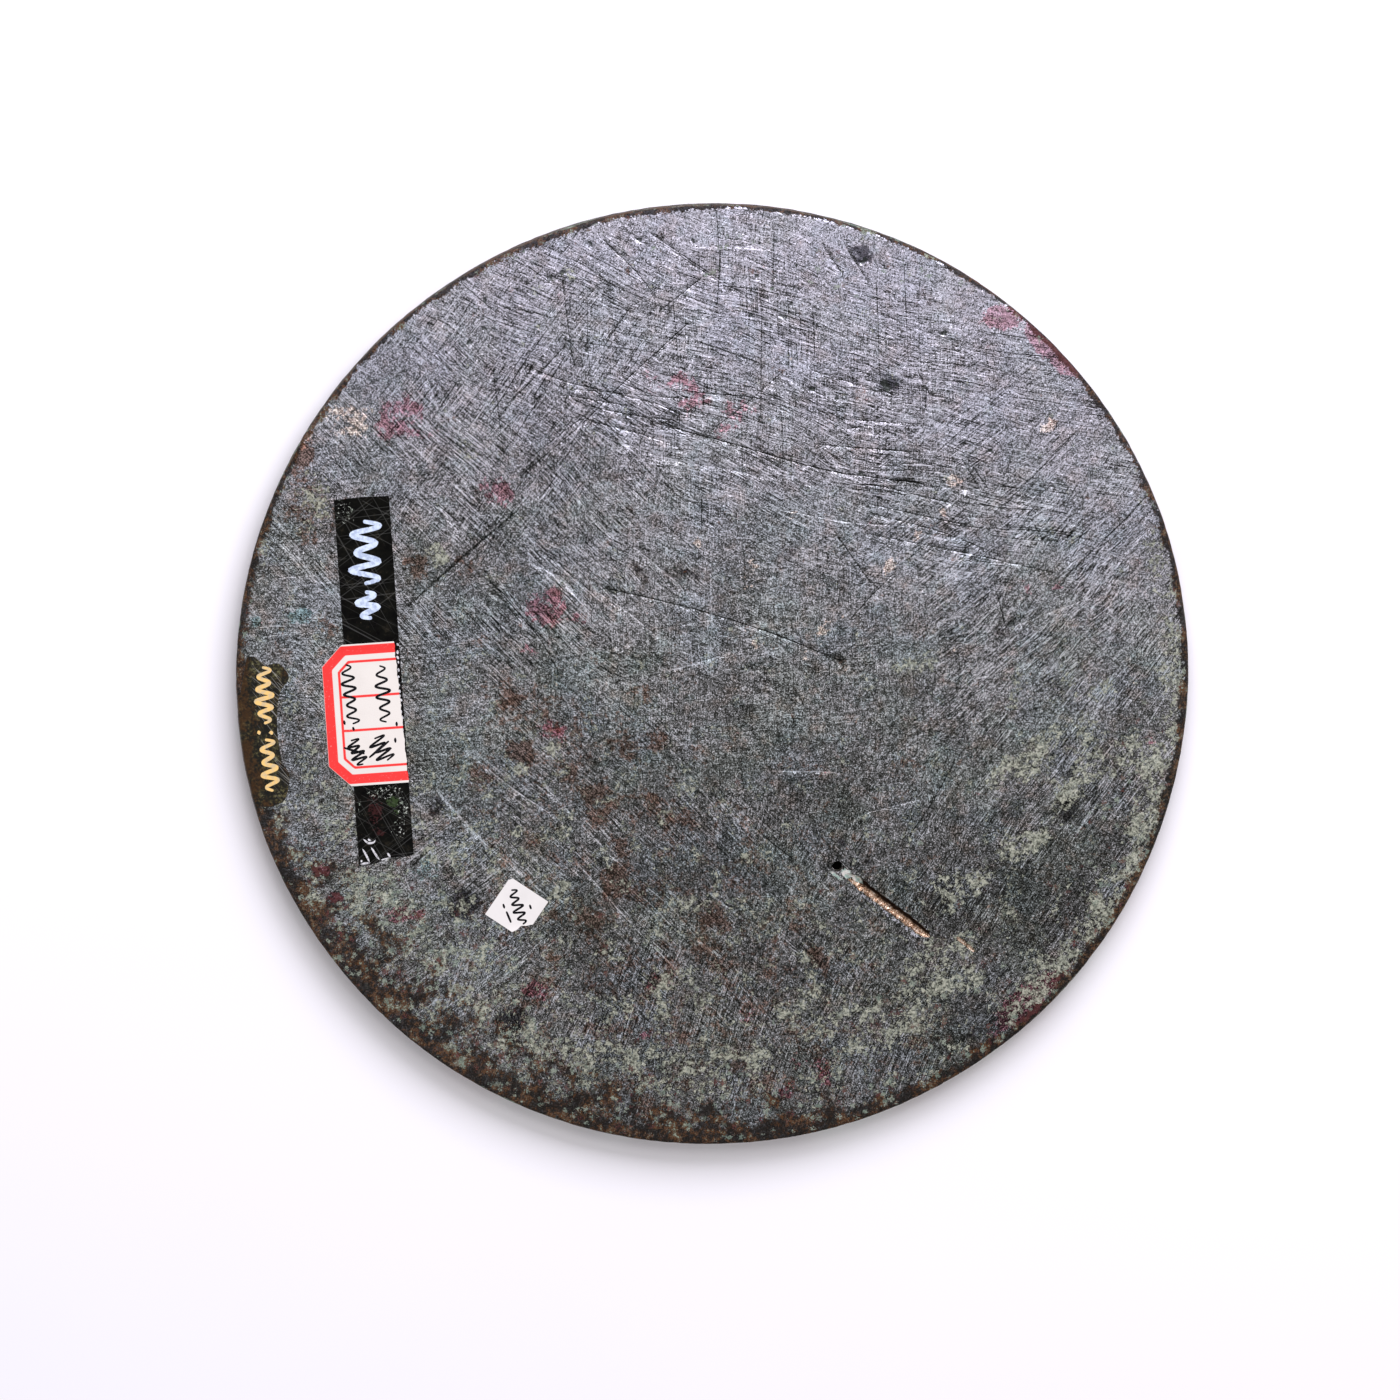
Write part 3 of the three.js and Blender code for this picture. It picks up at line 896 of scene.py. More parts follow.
def paper(name, pale, framed=False):
    """Matt paper with a faint grain, and a red frame printed on it where asked for."""
    s = Shader(name)
    place = s.millimetres()
    fibre = s.noise(place, 0.25, detail=3, roughness=0.6)
    soil = s.noise(place, 4.5, detail=3)
    colour = s.mix(s.smooth(soil, 0.4, 0.75, 0.0, 0.5), pale, tuple(0.9 * c for c in pale))
    if framed:
        worn = s.smooth(s.noise(place, 0.4, detail=3, roughness=0.7), 0.25, 0.4, 0.55, 1.0)
        colour = s.mix(s.times(printed_red(s), worn), colour, (0.88, 0.030, 0.027))
    return s.finish(Base_Color=colour, Roughness=0.78, Normal=s.bump(fibre, 0.35, 0.05))


def ink():
    s = Shader("ballpoint_ink")
    skipping = s.smooth(s.noise(s.millimetres(), 0.3), 0.5, 0.75)
    colour = s.mix(skipping, (0.003, 0.003, 0.004), (0.015, 0.015, 0.02))
    return s.finish(Base_Color=colour, Roughness=0.6, Specular_IOR_Level=0.1)


# How far from the middle the floor has painted shadow, and where it has turned pale again. The mirror hides
# both.
FLOOR_PAINTED_SHADOW, FLOOR_PALE = 84, 88


def pale_floor():
    """A plain pale surface, with painted shadow where the mirror hides it, so that the drilled hole shows
    black.

    It is clear from below, to the eye and to light, so that the mirror's back can be looked at.
    """
    s = Shader("pale_floor")
    place = s.millimetres()
    tint = s.mix(s.noise(place, 90), (0.935, 0.917, 0.955), (0.955, 0.940, 0.972))
    away = s.node("ShaderNodeVectorMath", {0: place}, operation="LENGTH").outputs["Value"]
    # Painted shadow: the floor is near black under the mirror, where it lies in shade.
    tint = s.mix(s.smooth(away, FLOOR_PAINTED_SHADOW, FLOOR_PALE, 1.0, 0.0), tint, (0.006, 0.006, 0.006))
    pale = s.node("ShaderNodeBsdfDiffuse", {"Color": tint}).outputs[0]
    clear = s.node("ShaderNodeBsdfTransparent").outputs[0]
    from_below = s.node("ShaderNodeNewGeometry").outputs["Backfacing"]
    to_light = s.node("ShaderNodeLightPath").outputs["Is Shadow Ray"]
    share = s.math("MAXIMUM", from_below, to_light)
    mixed = s.node("ShaderNodeMixShader", {0: share, 1: pale, 2: clear}).outputs[0]
    s.node("ShaderNodeOutputMaterial", {"Surface": mixed})
    return s.material


# ---------------------------------------------------------------- stains

# Each patch: x, y, length, width, turn and strength.
STAINS = {
    "wine": [
        (-62, 51, 10, 9, 0, 0.85), (-43, 37, 10, 5, -40, 0.9), (-33.5, 14, 8, 7, 0, 0.9),
        (-35.3, 6, 6, 5, 0, 0.6), (-26.4, 12, 4, 3, 0, 0.8), (-31.4, -11, 6, 4, 0, 0.9),
        (57, 73, 8, 5, 0, 1.2), (66, 67, 16, 5, -45, 1.2), (63, -66, 16, 5.5, 42, 1.2),
        (23.5, -81, 4, 3, 0, 0.9), (16, -84, 4, 3, 0, 0.8), (-10, -61.5, 5, 4, 0, 0.8),
        (-11.7, -73, 5, 3, 0, 0.8), (7.5, -69, 4, 3, 60, 0.7), (-34, -63.5, 6, 4, 0, 0.8),
        (-75, -45, 4, 3, 0, 0.8), (-62.5, -48.5, 5, 4, 0, 0.9), (-58, -48.5, 4, 3, 40, 0.8),
        (-77.7, -39.4, 4, 3, 0, 0.8), (86, -13, 5, 3, 0, 0.7), (-8, 58, 14, 8, -20, 0.62),
        (3, 52, 10, 7, 40, 0.62), (62.7, 18.7, 3, 3, 0, 0.7), (68.5, 18.7, 3, 2, 0, 0.7),
        (53, -23.7, 2, 2, 0, 0.8), (20, -78, 10, 5, 0, 0.5),
    ],
    "brown": [
        (-40.7, -5.3, 5, 4, 0, 0.9), (-38.5, -15, 6, 5, 0, 0.9), (-17.5, -14, 7, 6, 0, 0.7),
        (-14.6, -4, 6, 5, 0, 0.5), (-23, -25, 8, 7, 0, 0.8), (-25, -50, 10, 7, 0, 0.7),
        (-19, -41, 7, 8, 0, 0.8), (0, -48, 7, 6, 0, 0.8), (0, -56, 9, 7, -60, 0.7),
        (-10, -62, 6, 5, 0, 0.9), (21.7, -57, 9, 3.4, -60, 0.95), (-82, 44, 8, 5, 60, 0.9),
        (-80, 33, 14, 11, 90, 0.6), (-59, 22, 6, 5, 0, 0.7), (-50, 22, 6, 5, 0, 0.6),
        (-86, 7, 7, 4, 90, 0.6), (-77, 9, 7, 5, 0, 0.6), (12, -49, 6, 5, 0, 0.7), (-32, -46, 8, 8, 0, 0.6),
        (20, -76, 8, 4, 0, 0.6), (42, -72, 14, 7, 20, 0.6), (-12, -13, 8, 6, 0, 0.6),
        (38, -18, 8, 6, 0, 0.5), (-24, -8, 8, 6, 0, 0.5), (-12, -44, 8, 7, 0, 0.7), (8, -38, 9, 7, 0, 0.6),
        (-45, -20, 7, 6, 0, 0.7), (5, -78, 12, 6, 0, 0.6), (-30, -20, 10, 8, 40, 0.6),
        (-8, -28, 14, 8, -30, 0.6), (-66, -62, 16, 8, -48, 0.5), (-34, -12, 30, 22, -30, 0.5),
        (-16, -30, 26, 16, -30, 0.5),
    ],
    "peach": [
        (-73, 51, 8, 7, 0, 0.7), (-82, 47, 7, 3, 60, 0.8), (15.5, 33, 3, 2, 60, 0.9),
        (48.5, 40, 4, 3, 0, 0.8), (66.5, 51, 4, 2, 40, 0.9), (45.5, 33.7, 3, 2, 0, 0.8),
        (35, 23, 5, 2, 60, 1.0), (22, 10, 4, 2, 50, 0.8), (14, 11, 3, 2, 50, 0.7), (-3.4, 27, 2, 2, 0, 0.8),
        (7.7, 6.5, 3, 2, 0, 0.7), (40, 28.6, 3, 2, 60, 0.8), (25.5, 13, 2, 2, 0, 0.8),
        (18, 5, 3, 2, 50, 0.7), (7, 21, 5, 8, 0, 0.45), (48, 6, 5, 3, 0, 0.4),
    ],
    "dark": [
        (-49, -46.5, 7, 6, 0, 1.3), (-39, -69.6, 6, 5, 0, 1.4), (52, -70, 8, 6, 0, 0.6),
        (72, -27, 5, 7, 20, 0.8), (34, 59.5, 6, 4, 0, 0.8), (40, 56, 8, 8, 0, 0.45), (28, 85, 5, 4, 0, 0.8),
        (56, 26, 10, 8, 0, 0.4), (-8, 22, 22, 16, -30, 0.4), (12, 28, 14, 12, 0, 0.35),
        (30, -14, 12, 9, 0, 0.3), (24, -60, 12, 9, 40, 0.5), (-55, -26, 6, 4, 0, 0.6),
        (60, 10, 10, 6, 0, 0.5), (29.5, -35.9, 12, 0.9, -38, 1.1),
    ],
    "teal": [
        (-52, -50, 44, 26, -42, 0.52), (-57, -40, 7, 6, 0, 0.8), (-50, -26, 6, 5, 0, 0.6),
        (-82, 11.6, 5, 4, 0, 0.9), (-91, 10.8, 3, 3, 0, 0.8), (-43, -34, 8, 6, 0, 0.5),
        (-56.5, -72.3, 2.5, 2.5, 0, 1.2), (52, -15, 6, 5, 0, 0.5), (-30, -60, 8, 6, 0, 0.5),
    ],
    "cream": [
        (61, -18, 14, 6, 35, 0.85), (71, -25, 9, 6, 60, 0.75), (50, -42, 14, 6, 20, 0.85),
        (46, -41, 4, 3, 0, 0.9), (61.7, -34, 12, 5, 30, 0.85), (-2, -80, 40, 14, 0, 0.60),
        (37, -70, 24, 13, 20, 0.65), (-37, -76, 26, 9, -25, 0.6), (90, 22, 7, 26, 12, 0.6),
        (92, 0, 7, 26, 0, 0.7), (89, -22, 10, 26, -15, 0.75), (81, -44, 10, 26, -30, 0.75),
        (68, -61, 10, 24, -48, 0.7), (46, -60, 26, 15, 30, 0.65), (80, -16, 26, 7, 20, 0.7),
        (70, -12, 20, 8, 30, 0.62), (-60, -60, 20, 9, -45, 0.55), (-71, -45, 5, 4, 0, 0.9),
        (-66, -45, 4, 3, 0, 0.9), (-67, -50, 6, 3, 0, 0.9), (-55, 24.5, 4, 5, 30, 0.9),
        (-38, -18.6, 3, 3, 0, 0.9), (-31.7, -14, 4, 4, 0, 0.8), (-30, -43, 5, 4, 0, 0.8),
        (-5, -45.5, 4, 4, 0, 0.8), (-40, -74.7, 6, 4, 0, 0.8), (-80, 35, 10, 12, 0, 0.55),
        (40, 2, 14, 8, 20, 0.45), (66, -2, 16, 14, 0, 0.42), (-48, 46, 6, 4, 0, 0.4),
        (22, -68, 20, 13, 0, 0.6), (-20, -70, 18, 10, 0, 0.5), (76, -5, 12, 22, 0, 0.42),
        (-48, -62, 36, 14, -40, 0.6), (-24, -76, 30, 10, -20, 0.62), (-8, -64, 24, 14, 10, 0.5),
        (-86, -27, 5, 16, 15, 0.6), (-90, 25, 4, 20, -10, 0.5), (-33, 80, 14, 4, 22, 0.5),
        (77, 62, 5, 16, 38, 0.5), (0, -30, 34, 26, 0, 0.34),
    ],
}

# Where crumbs lie thickly.
CRUMBS = [(-66, -50, 44, 20, -48, 0.40), (-44, -70, 36, 16, -32, 0.40), (-10, -84, 40, 10, 0, 0.3),
          (80, -30, 40, 12, 70, 0.26), (40, -70, 40, 16, 28, 0.22), (18, 83, 62, 10, -6, 0.16)]

# Where the metal is darker than its surroundings.
DIM = [(66, -52, 60, 44, 40, 0.7), (-50, 44, 60, 50, 40, 0.5), (44, 50, 60, 40, -30, 0.2)]

# Lays of fine scratches: the way each runs, in degrees, and the patches where it is strong.
LAYS = [
    (-12, [(34, 54, 120, 56, -12, 1.0), (-78, -22, 26, 70, 0, 0.6)]),
    (-27, [(-4, 62, 110, 56, -20, 0.9), (-12, 12, 70, 40, 0, 0.5)]),
    (-44, [(-48, 24, 80, 80, -30, 1.0), (-14, -40, 90, 50, -40, 0.9)]),
    (54, [(-42, 56, 70, 50, 50, 0.75), (74, -12, 50, 110, 0, 1.0), (44, -50, 60, 60, 0, 0.7)]),
    (38, [(56, 26, 60, 70, 0, 0.8), (-56, -48, 60, 44, 0, 0.9)]),
    (71, [(0, -72, 120, 40, 0, 0.9), (30, -36, 60, 30, 0, 0.5)]),
    (89, [(8, 58, 90, 60, 0, 0.45), (4, 6, 80, 60, 0, 0.4), (20, -40, 60, 50, 0, 0.4)]),
    (6, [(-70, -4, 50, 90, 0, 0.6), (12, 4, 90, 50, 0, 0.4)]),
]


def patches(x, y, listed):
    """How strongly the listed patches cover each place: full in the middle, and gone past the edge."""
    cover = np.zeros(len(x))
    for px, py, length, width, turn, strength in listed:
        along, across = turned(x - px, y - py, -turn)
        away = np.hypot(along / (length / 2), across / (width / 2))
        cover = np.maximum(cover, strength * (1 - smooth(away, 0.5, 1.7)))
    return cover


# How far in from the edge the rim's crust reaches, by bearing in degrees.
CRUST_REACH = [
    (0, 2.6), (20, 2.4), (60, 1.3), (85, 1.5), (110, 2.2), (130, 1.8), (150, 2.0), (175, 2.8), (200, 5.5),
    (215, 10.0), (232, 11.0), (245, 9.0), (262, 8.0), (280, 7.0), (296, 4.4), (315, 3.2), (340, 3.0),
    (360, 2.6),
]


def rim_crust(x, y):
    """How much of the rim's crust there is: broad at the lower left, and elsewhere a thin line."""
    inward = RADIUS - np.hypot(x, y)
    bearing = np.degrees(np.arctan2(y, x)) % 360
    reach = np.interp(bearing, *zip(*CRUST_REACH))
    solid = 1.2 * (1 - smooth(inward / reach, 0.05, 1.25))
    scattered_in = 0.62 * (1 - smooth(inward / reach, 0.8, 2.4)) * smooth(reach, 3.0, 8)
    return np.maximum(solid, scattered_in)


# ---------------------------------------------------------------- the casting

# The inner edge of the varnish patch, and the bearings, in degrees, between which it covers the rim.
VARNISH_EDGE = [
    (-92.9, 3.4), (-91.4, 3.6), (-89.1, 2.0), (-86.4, 2.2), (-84.4, -0.6), (-86.2, -3.8),
    (-86.7, -10.0), (-85.7, -17.3), (-84.1, -20.3), (-85.0, -25.2), (-87.4, -26.6),
]
VARNISH_ENDS = (-178.0, -163.0)

# How many steps of the rounding of the face's edge the varnish covers.
VARNISHED_ROWS = 4

# Brush marks that stand for a collector's note: long waves, dashes and dots, and no writing.
OCHRE_MARKS = [
    wave((-89.6, 1.4), (-89.1, -9.8), 1.75, 9),
    [(-87.9, -11.6), (-87.8, -11.9)],
    [(-90.4, -11.6), (-90.3, -11.9)],
    wave((-88.9, -13.2), (-87.6, -23.4), 1.6, 8),
]
OCHRE_WIDTH = 0.85

# The casting's materials, in their order on its mesh.
BRONZE, VARNISH, OCHRE, PATINA = range(4)

# The face's points are this far apart: where it is plain, where it has crust, and where it is damaged.
PLAIN_STEP, CRUST_STEP, DAMAGE_STEP = 1.2, 0.6, 0.3
RIM_SIDES = 480

# Under the tape and the labels the face is kept from rising, so that it doesn't come through them.
UNDER_TAPE = dict(left=-82, right=-52, reach=42)
UNDER_SQUARE = 8


def varnish_loop():
    """The varnish patch on the face: its inner edge, closed by an arc along the rim."""
    start, end = (math.radians(a) for a in VARNISH_ENDS)
    arc = [(FACE_RADIUS * math.cos(a), FACE_RADIUS * math.sin(a)) for a in rim_bearings()
           if start < a - 2 * math.pi < end or start < a < end]
    edge = curve_through(VARNISH_EDGE, step=0.5)
    return np.vstack([edge, np.array(sorted(arc, key=lambda p: p[1]))])


def rim_bearings():
    """The bearings of the rim's points, in radians."""
    return np.arange(RIM_SIDES) / RIM_SIDES * 2 * math.pi


def face_spacing(x, y):
    """How far apart the face's points may be, finer where there is relief to carry."""
    spacing = np.where(rim_crust(x, y) > 0.35, CRUST_STEP, PLAIN_STEP)
    broken = np.minimum(distance_to_trough(x, y, GOUGE) - 2.6, distance_to_trough(x, y, NICK) - 1.5)
    broken = np.minimum(broken, np.hypot(x - HOLE[0], y - HOLE[1]) - 3.5)
    for px, py, radius in PITS:
        broken = np.minimum(broken, np.hypot(x - px, y - py) - 2 * radius)
    spacing = np.where(broken < 0, DAMAGE_STEP, spacing)
    return np.where(patches(x, y, STAINS["cream"]) > 0.5, np.minimum(spacing, CRUST_STEP), spacing)


def section_below_face():
    """The casting's section from the rounding of its face, down its side and under it: (out, up)."""
    points = []

    def arc(out, up, radius, start, end, steps):
        for turn in np.radians(np.linspace(start, end, steps + 1)):
            points.append((out + radius * math.cos(turn), up + radius * math.sin(turn)))

    arc(FACE_RADIUS, FACE_Z - FACE_ROUND, FACE_ROUND, 90, 0, 5)
    seat_outer = RADIUS - SIDE_DRAFT - SEAT_ROUND
    side_top, side_low = FACE_Z - FACE_ROUND, SEAT_ROUND
    for share in (0.2, 0.4, 0.6, 0.8):
        points.append((RADIUS - SIDE_DRAFT * share, side_top + (side_low - side_top) * share))
    arc(seat_outer, SEAT_ROUND, SEAT_ROUND, 0, -90, 3)
    arc(seat_outer - SEAT_WIDTH, SEAT_ROUND, SEAT_ROUND, -90, -180, 3)
    lip_out, lip_up = points[-1]
    for share in np.arange(1, 9) / 8:
        up = FIELD_Z - (FIELD_Z - lip_up) * (1 - share) ** SWEEP_POWER
        points.append((lip_out - SWEEP_WIDTH * share, up))
    for radius, width, rise in RIDGES:
        for across in np.linspace(1, -1, 6):
            points.append((radius + across * width / 2, FIELD_Z - rise * math.cos(across * math.pi / 2)))
    return points


# How deep a scratch is, for half its width.
SCRATCH_SLOPE = 0.34


def scratch_course(course):
    return curve_through(course, step=0.8)


def scratch_lines(width, course):
    """The two edges of a scratch and the line along its bottom, which meet at its ends."""
    bottom = scratch_course(course)
    along = np.gradient(bottom, axis=0)
    along /= np.linalg.norm(along, axis=1)[:, None]
    across = np.stack([-along[:, 1], along[:, 0]], -1) * width / 2
    across *= (1 - np.abs(np.linspace(-1, 1, len(bottom))) ** 6)[:, None]
    return [bottom, bottom + across, bottom - across]


def in_scratches(x, y):
    """How deep in a scratch each place is, and how light or dark that scratch looks there."""
    deep, look = np.zeros(len(x)), np.zeros(len(x))
    for width, tone, course in SCRATCHES:
        bottom = scratch_course(course)
        low, high = bottom.min(axis=0) - width, bottom.max(axis=0) + width
        near = np.flatnonzero((x > low[0]) & (x < high[0]) & (y > low[1]) & (y < high[1]))
        share = np.maximum(1 - distance_to(x[near], y[near], bottom) / (width / 2), 0)
        from_ends = [np.hypot(x[near] - end_x, y[near] - end_y) for end_x, end_y in bottom[[0, -1]]]
        share *= smooth(np.min(from_ends, axis=0), 0, 2.0)
        deep[near] = np.maximum(deep[near], share * SCRATCH_SLOPE * width / 2)
        look[near] = np.where(share * abs(tone) > np.abs(look[near]), share * tone, look[near])
    return deep, look


def pit_share(x, y):
    """How deep in a ragged pit each place is, from 0 outside to 1 in its middle, and that pit's radius."""
    wide = 3 * max(radius for _, _, radius in PITS)
    deep, size = np.zeros(len(x)), np.zeros(len(x))
    for number, (px, py, radius) in enumerate(PITS):
        near = np.flatnonzero((np.abs(x - px) < wide) & (np.abs(y - py) < wide))
        ragged = 0.6 * radius * noise_on_face(x[near], y[near], 1.1 * radius, number)
        along, across = turned(x[near] - px + ragged, y[near] - py - ragged, 47 * number)
        share = 1 - smooth(np.hypot(along, 1.5 * across) / radius, 0.35, 1.35)
        size[near] = np.where(share > deep[near], radius, size[near])
        deep[near] = np.maximum(deep[near], share)
    return deep, size


def relief(x, y):
    """The worn face's height above flat: waves, crust, pits, scratches, and burrs by the gouge and hole."""
    height = 0.05 * noise_on_face(x, y, 16) - 0.03
    lumps = smooth(noise_on_face(x, y, 1.5, 3), 0.0, 0.7)
    deposit = 0.8 * smooth(patches(x, y, STAINS["cream"]), 0.5, 1.0)
    height += 0.14 * lumps * np.maximum(rim_crust(x, y), deposit)
    deep, size = pit_share(x, y)
    height -= 0.3 * size * deep
    height -= in_scratches(x, y)[0]
    along, across = along_trough(x, y, GOUGE)
    lip = (1 - smooth(np.abs(across + 1.15), 0.0, 0.45)) * (1 - smooth(np.abs(along), 8.5, 10.5))
    height += 0.16 * lip * smooth(noise_on_face(x, y, 0.7, 5), -0.2, 0.5)
    from_edge = np.abs(np.hypot(x - HOLE[0], y - HOLE[1]) - 1.35)
    height += 0.12 * (1 - smooth(from_edge, 0.0, 0.4)) * smooth(noise_on_face(x, y, 0.8, 6), -0.3, 0.4)
    by_tape = (x > UNDER_TAPE["left"]) & (x < UNDER_TAPE["right"]) & (np.abs(y) < UNDER_TAPE["reach"])
    by_square = np.hypot(x - SQUARE["x"], y - SQUARE["y"]) < UNDER_SQUARE
    return np.where(by_tape | by_square, np.minimum(height, -0.01), height)


def weathered(places):
    """The casting's vertices with its wear: relief on the face and a rim that isn't quite round."""
    x, y, z = places.T
    out = np.hypot(x, y)
    unit = places[:, :2] / np.maximum(out, 1e-6)[:, None]
    near_rim = smooth(out, 84, 93)
    inward = 0.16 + 0.15 * noise_on_face(*(3 * unit.T), 1.0, 8)
    inward += np.where(out > 92, 0.07 * noise_at(places, 2.2, 9) + 0.05 * noise_at(places, 0.9, 10), 0)
    moved = places.copy()
    moved[:, :2] -= unit * (near_rim * np.clip(inward, 0, 1))[:, None]
    on_face = z > FACE_Z - 1e-4
    moved[on_face, 2] += relief(x[on_face], y[on_face])
    return moved


def worked_face(ring):
    """The face's points and triangles, with its marks let into them, and each triangle's material."""
    points = scattered((-RADIUS, -RADIUS), (RADIUS, RADIUS), PLAIN_STEP, face_spacing)
    points = points[np.hypot(*points.T) < FACE_RADIUS - 0.35]
    scratches = [line for width, _, course in SCRATCHES for line in scratch_lines(width, course)]
    for width, _, course in SCRATCHES:
        points = points[distance_to(points[:, 0], points[:, 1], scratch_course(course)) > width / 2 + 0.3]
    ochre = [Stroke(mark, OCHRE_WIDTH) for mark in OCHRE_MARKS]
    patch = varnish_loop()
    loops = [ring * FACE_RADIUS, patch] + [stroke.outline() for stroke in ochre]
    verts, faces = triangulated(points, loops, scratches)
    middles = verts[faces].mean(axis=1)
    materials = np.where(inside(middles, patch), VARNISH, BRONZE)
    return verts, faces, np.where(marks_hold(ochre, middles), OCHRE, materials)


def turned_casting():
    """Face, rim and underside as one closed mesh, before its knob and its damage."""
    ring = np.column_stack([np.cos(rim_bearings()), np.sin(rim_bearings())])
    flat, faces, face_materials = worked_face(ring)
    top = np.column_stack([flat, np.full(len(flat), FACE_Z)])

    section = section_below_face()
    rings = np.vstack([np.column_stack([ring * out, np.full(RIM_SIDES, up)]) for out, up in section])
    first = len(top)
    middle = first + len(rings)
    nexts = (np.arange(RIM_SIDES) + 1) % RIM_SIDES
    bearings = (rim_bearings() + math.pi) % (2 * math.pi) - math.pi
    start, end = (math.radians(a) for a in VARNISH_ENDS)
    quads, quad_materials = [], []
    for row in range(len(section) - 1):
        a = first + row * RIM_SIDES
        b = a + RIM_SIDES
        for i, j in enumerate(nexts):
            quads.append((a + i, b + i, b + j, a + j))
            varnished = row < VARNISHED_ROWS and start < bearings[i] < end
            quad_materials.append(VARNISH if varnished else BRONZE)
    last = first + (len(section) - 1) * RIM_SIDES
    fan = [(last + i, middle, last + j) for i, j in enumerate(nexts)]

    all_verts = np.vstack([top, rings, [(0, 0, FIELD_Z)]])
    all_materials = np.concatenate([face_materials, quad_materials, np.full(len(fan), BRONZE)])
    ochre_paint = brush_paint("ochre_paint", (0.66, 0.50, 0.28), (0.90, 0.58, 0.19))
    materials = [bronze(), varnish(), ochre_paint, patina()]
    made = mesh_object("mirror", weathered(all_verts), faces.tolist() + quads + fan, materials, all_materials)
    weld(made)
    return made


def loft(name, rings):
    """A closed solid from rings of the same number of points, capped at both ends."""
    count = len(rings[0])
    verts = np.vstack(rings)
    faces = []
    for row in range(len(rings) - 1):
        for i in range(count):
            j = (i + 1) % count
            faces.append((row * count + i, row * count + j, (row + 1) * count + j, (row + 1) * count + i))
    faces.append(list(range(count))[::-1])
    faces.append([(len(rings) - 1) * count + i for i in range(count)])
    made = mesh_object(name, verts, faces, [])
    weld(made, 1e-5)
    return made


def arch(name, width, extra, middle, rounding):
    """A bridge that stands down from the field, with a tunnel for a cord under it."""
    outer = [((KNOB_SPAN / 2 + extra) * math.cos(a), -(KNOB_RISE + extra) * math.sin(a))
             for a in np.linspace(0, math.pi, 33)]
    half_tunnel, tunnel_rise = KNOB_TUNNEL[0] / 2, KNOB_TUNNEL[1]
    inner = [(half_tunnel * math.cos(a), -tunnel_rise * math.sin(a)) for a in np.linspace(math.pi, 0, 25)]
    half_span, sink = KNOB_SPAN / 2 + extra, 0.5
    section = np.array([(half_span, sink), *outer, (-half_span, sink), (-half_tunnel, sink), *inner,
                        (half_tunnel, sink)])
    rings = []
    half_steps = [(0.5, 0.0), (0.8, 0.15), (0.94, 0.55), (1.0, 1.0)]
    for share, drawn_in in [(-share, drawn_in) for share, drawn_in in reversed(half_steps)] + half_steps:
        scale = 1 - drawn_in * rounding / KNOB_RISE
        x = section[:, 0]
        up = np.where(section[:, 1] < 0, section[:, 1] * scale, section[:, 1])
        y = np.full(len(x), middle + share * width / 2)
        rings.append(np.column_stack([x, y, FIELD_Z + up]))
    return loft(name, rings)


def trough_cutter(name, trough, seed):
    """What cuts a trough with tapering ends and a rough floor out of the face."""
    rings = []
    above = 0.8
    for share in np.linspace(-1, 1, 60):
        swell = max(0.06, (1 - abs(share) ** 9)) ** 0.6
        half, deep = trough["width"] / 2 * swell, trough["depth"] * swell
        turns = np.radians(np.linspace(180, 360, 9))
        cut = np.array([(half * math.cos(t), deep * math.sin(t)) for t in turns])
        spots = np.column_stack([cut, np.full(len(cut), share * trough["length"] / 2)])
        cut += 0.24 * half * np.column_stack([noise_at(spots, 0.9, seed), noise_at(spots, 0.6, seed + 1)])
        cut = np.vstack([cut, (half * 1.02, above), (-half * 1.02, above)])
        x, y = turned(np.full(len(cut), share * trough["length"] / 2), cut[:, 0], trough["turn"])
        rings.append(np.column_stack([x + trough["x"], y + trough["y"], FACE_Z + cut[:, 1]]))
    return loft(name, rings)


def hole_cutter():
    """What cuts the drilled hole: a little uneven, and wider at its mouth."""
    x, y, radius = HOLE
    turns = np.linspace(0, 2 * math.pi, 33)[:-1]
    rings = []
    for up, wide in [(1.0, 1.3), (0.3, 1.16), (-0.25, 1.0), (-PLATE - 2, 0.98)]:
        out = radius * wide * (1 + 0.03 * np.sin(3 * turns + up))
        height = np.full(len(turns), FACE_Z + up)
        rings.append(np.column_stack([x + out * np.cos(turns), y + out * np.sin(turns), height]))
    return loft("hole_cutter", rings)


def casting():
    mirror = turned_casting()
    rounding = 0.5
    combine(mirror, arch("knob", KNOB_WIDTH, 0, 0, rounding), "UNION")
    pitch, width, extra = KNOB_STRINGS
    for side in (-1, 0, 1):
        combine(mirror, arch("knob_string", width, extra, side * pitch, rounding), "UNION")
    combine(mirror, hole_cutter(), "DIFFERENCE")
    combine(mirror, trough_cutter("gouge_cutter", GOUGE, 11), "DIFFERENCE")
    combine(mirror, trough_cutter("nick_cutter", NICK, 14), "DIFFERENCE")
    leave_unpolished(mirror)
    stain_casting(mirror)
    return mirror


def leave_unpolished(mirror):
    """Gives the patina to the side and the underside."""
    polygons = mirror.data.polygons
    middles, indices = np.empty(3 * len(polygons)), np.empty(len(polygons), np.int32)
    polygons.foreach_get("center", middles)
    polygons.foreach_get("material_index", indices)
    x, y, z = middles.reshape(-1, 3).T / MM
    below = z < (FIELD_Z + FACE_Z) / 2 - 0.3
    outside = np.hypot(x, y) > FACE_RADIUS + 0.6 * FACE_ROUND
    polygons.foreach_set("material_index", np.where((below | outside) & (indices == BRONZE), PATINA, indices))


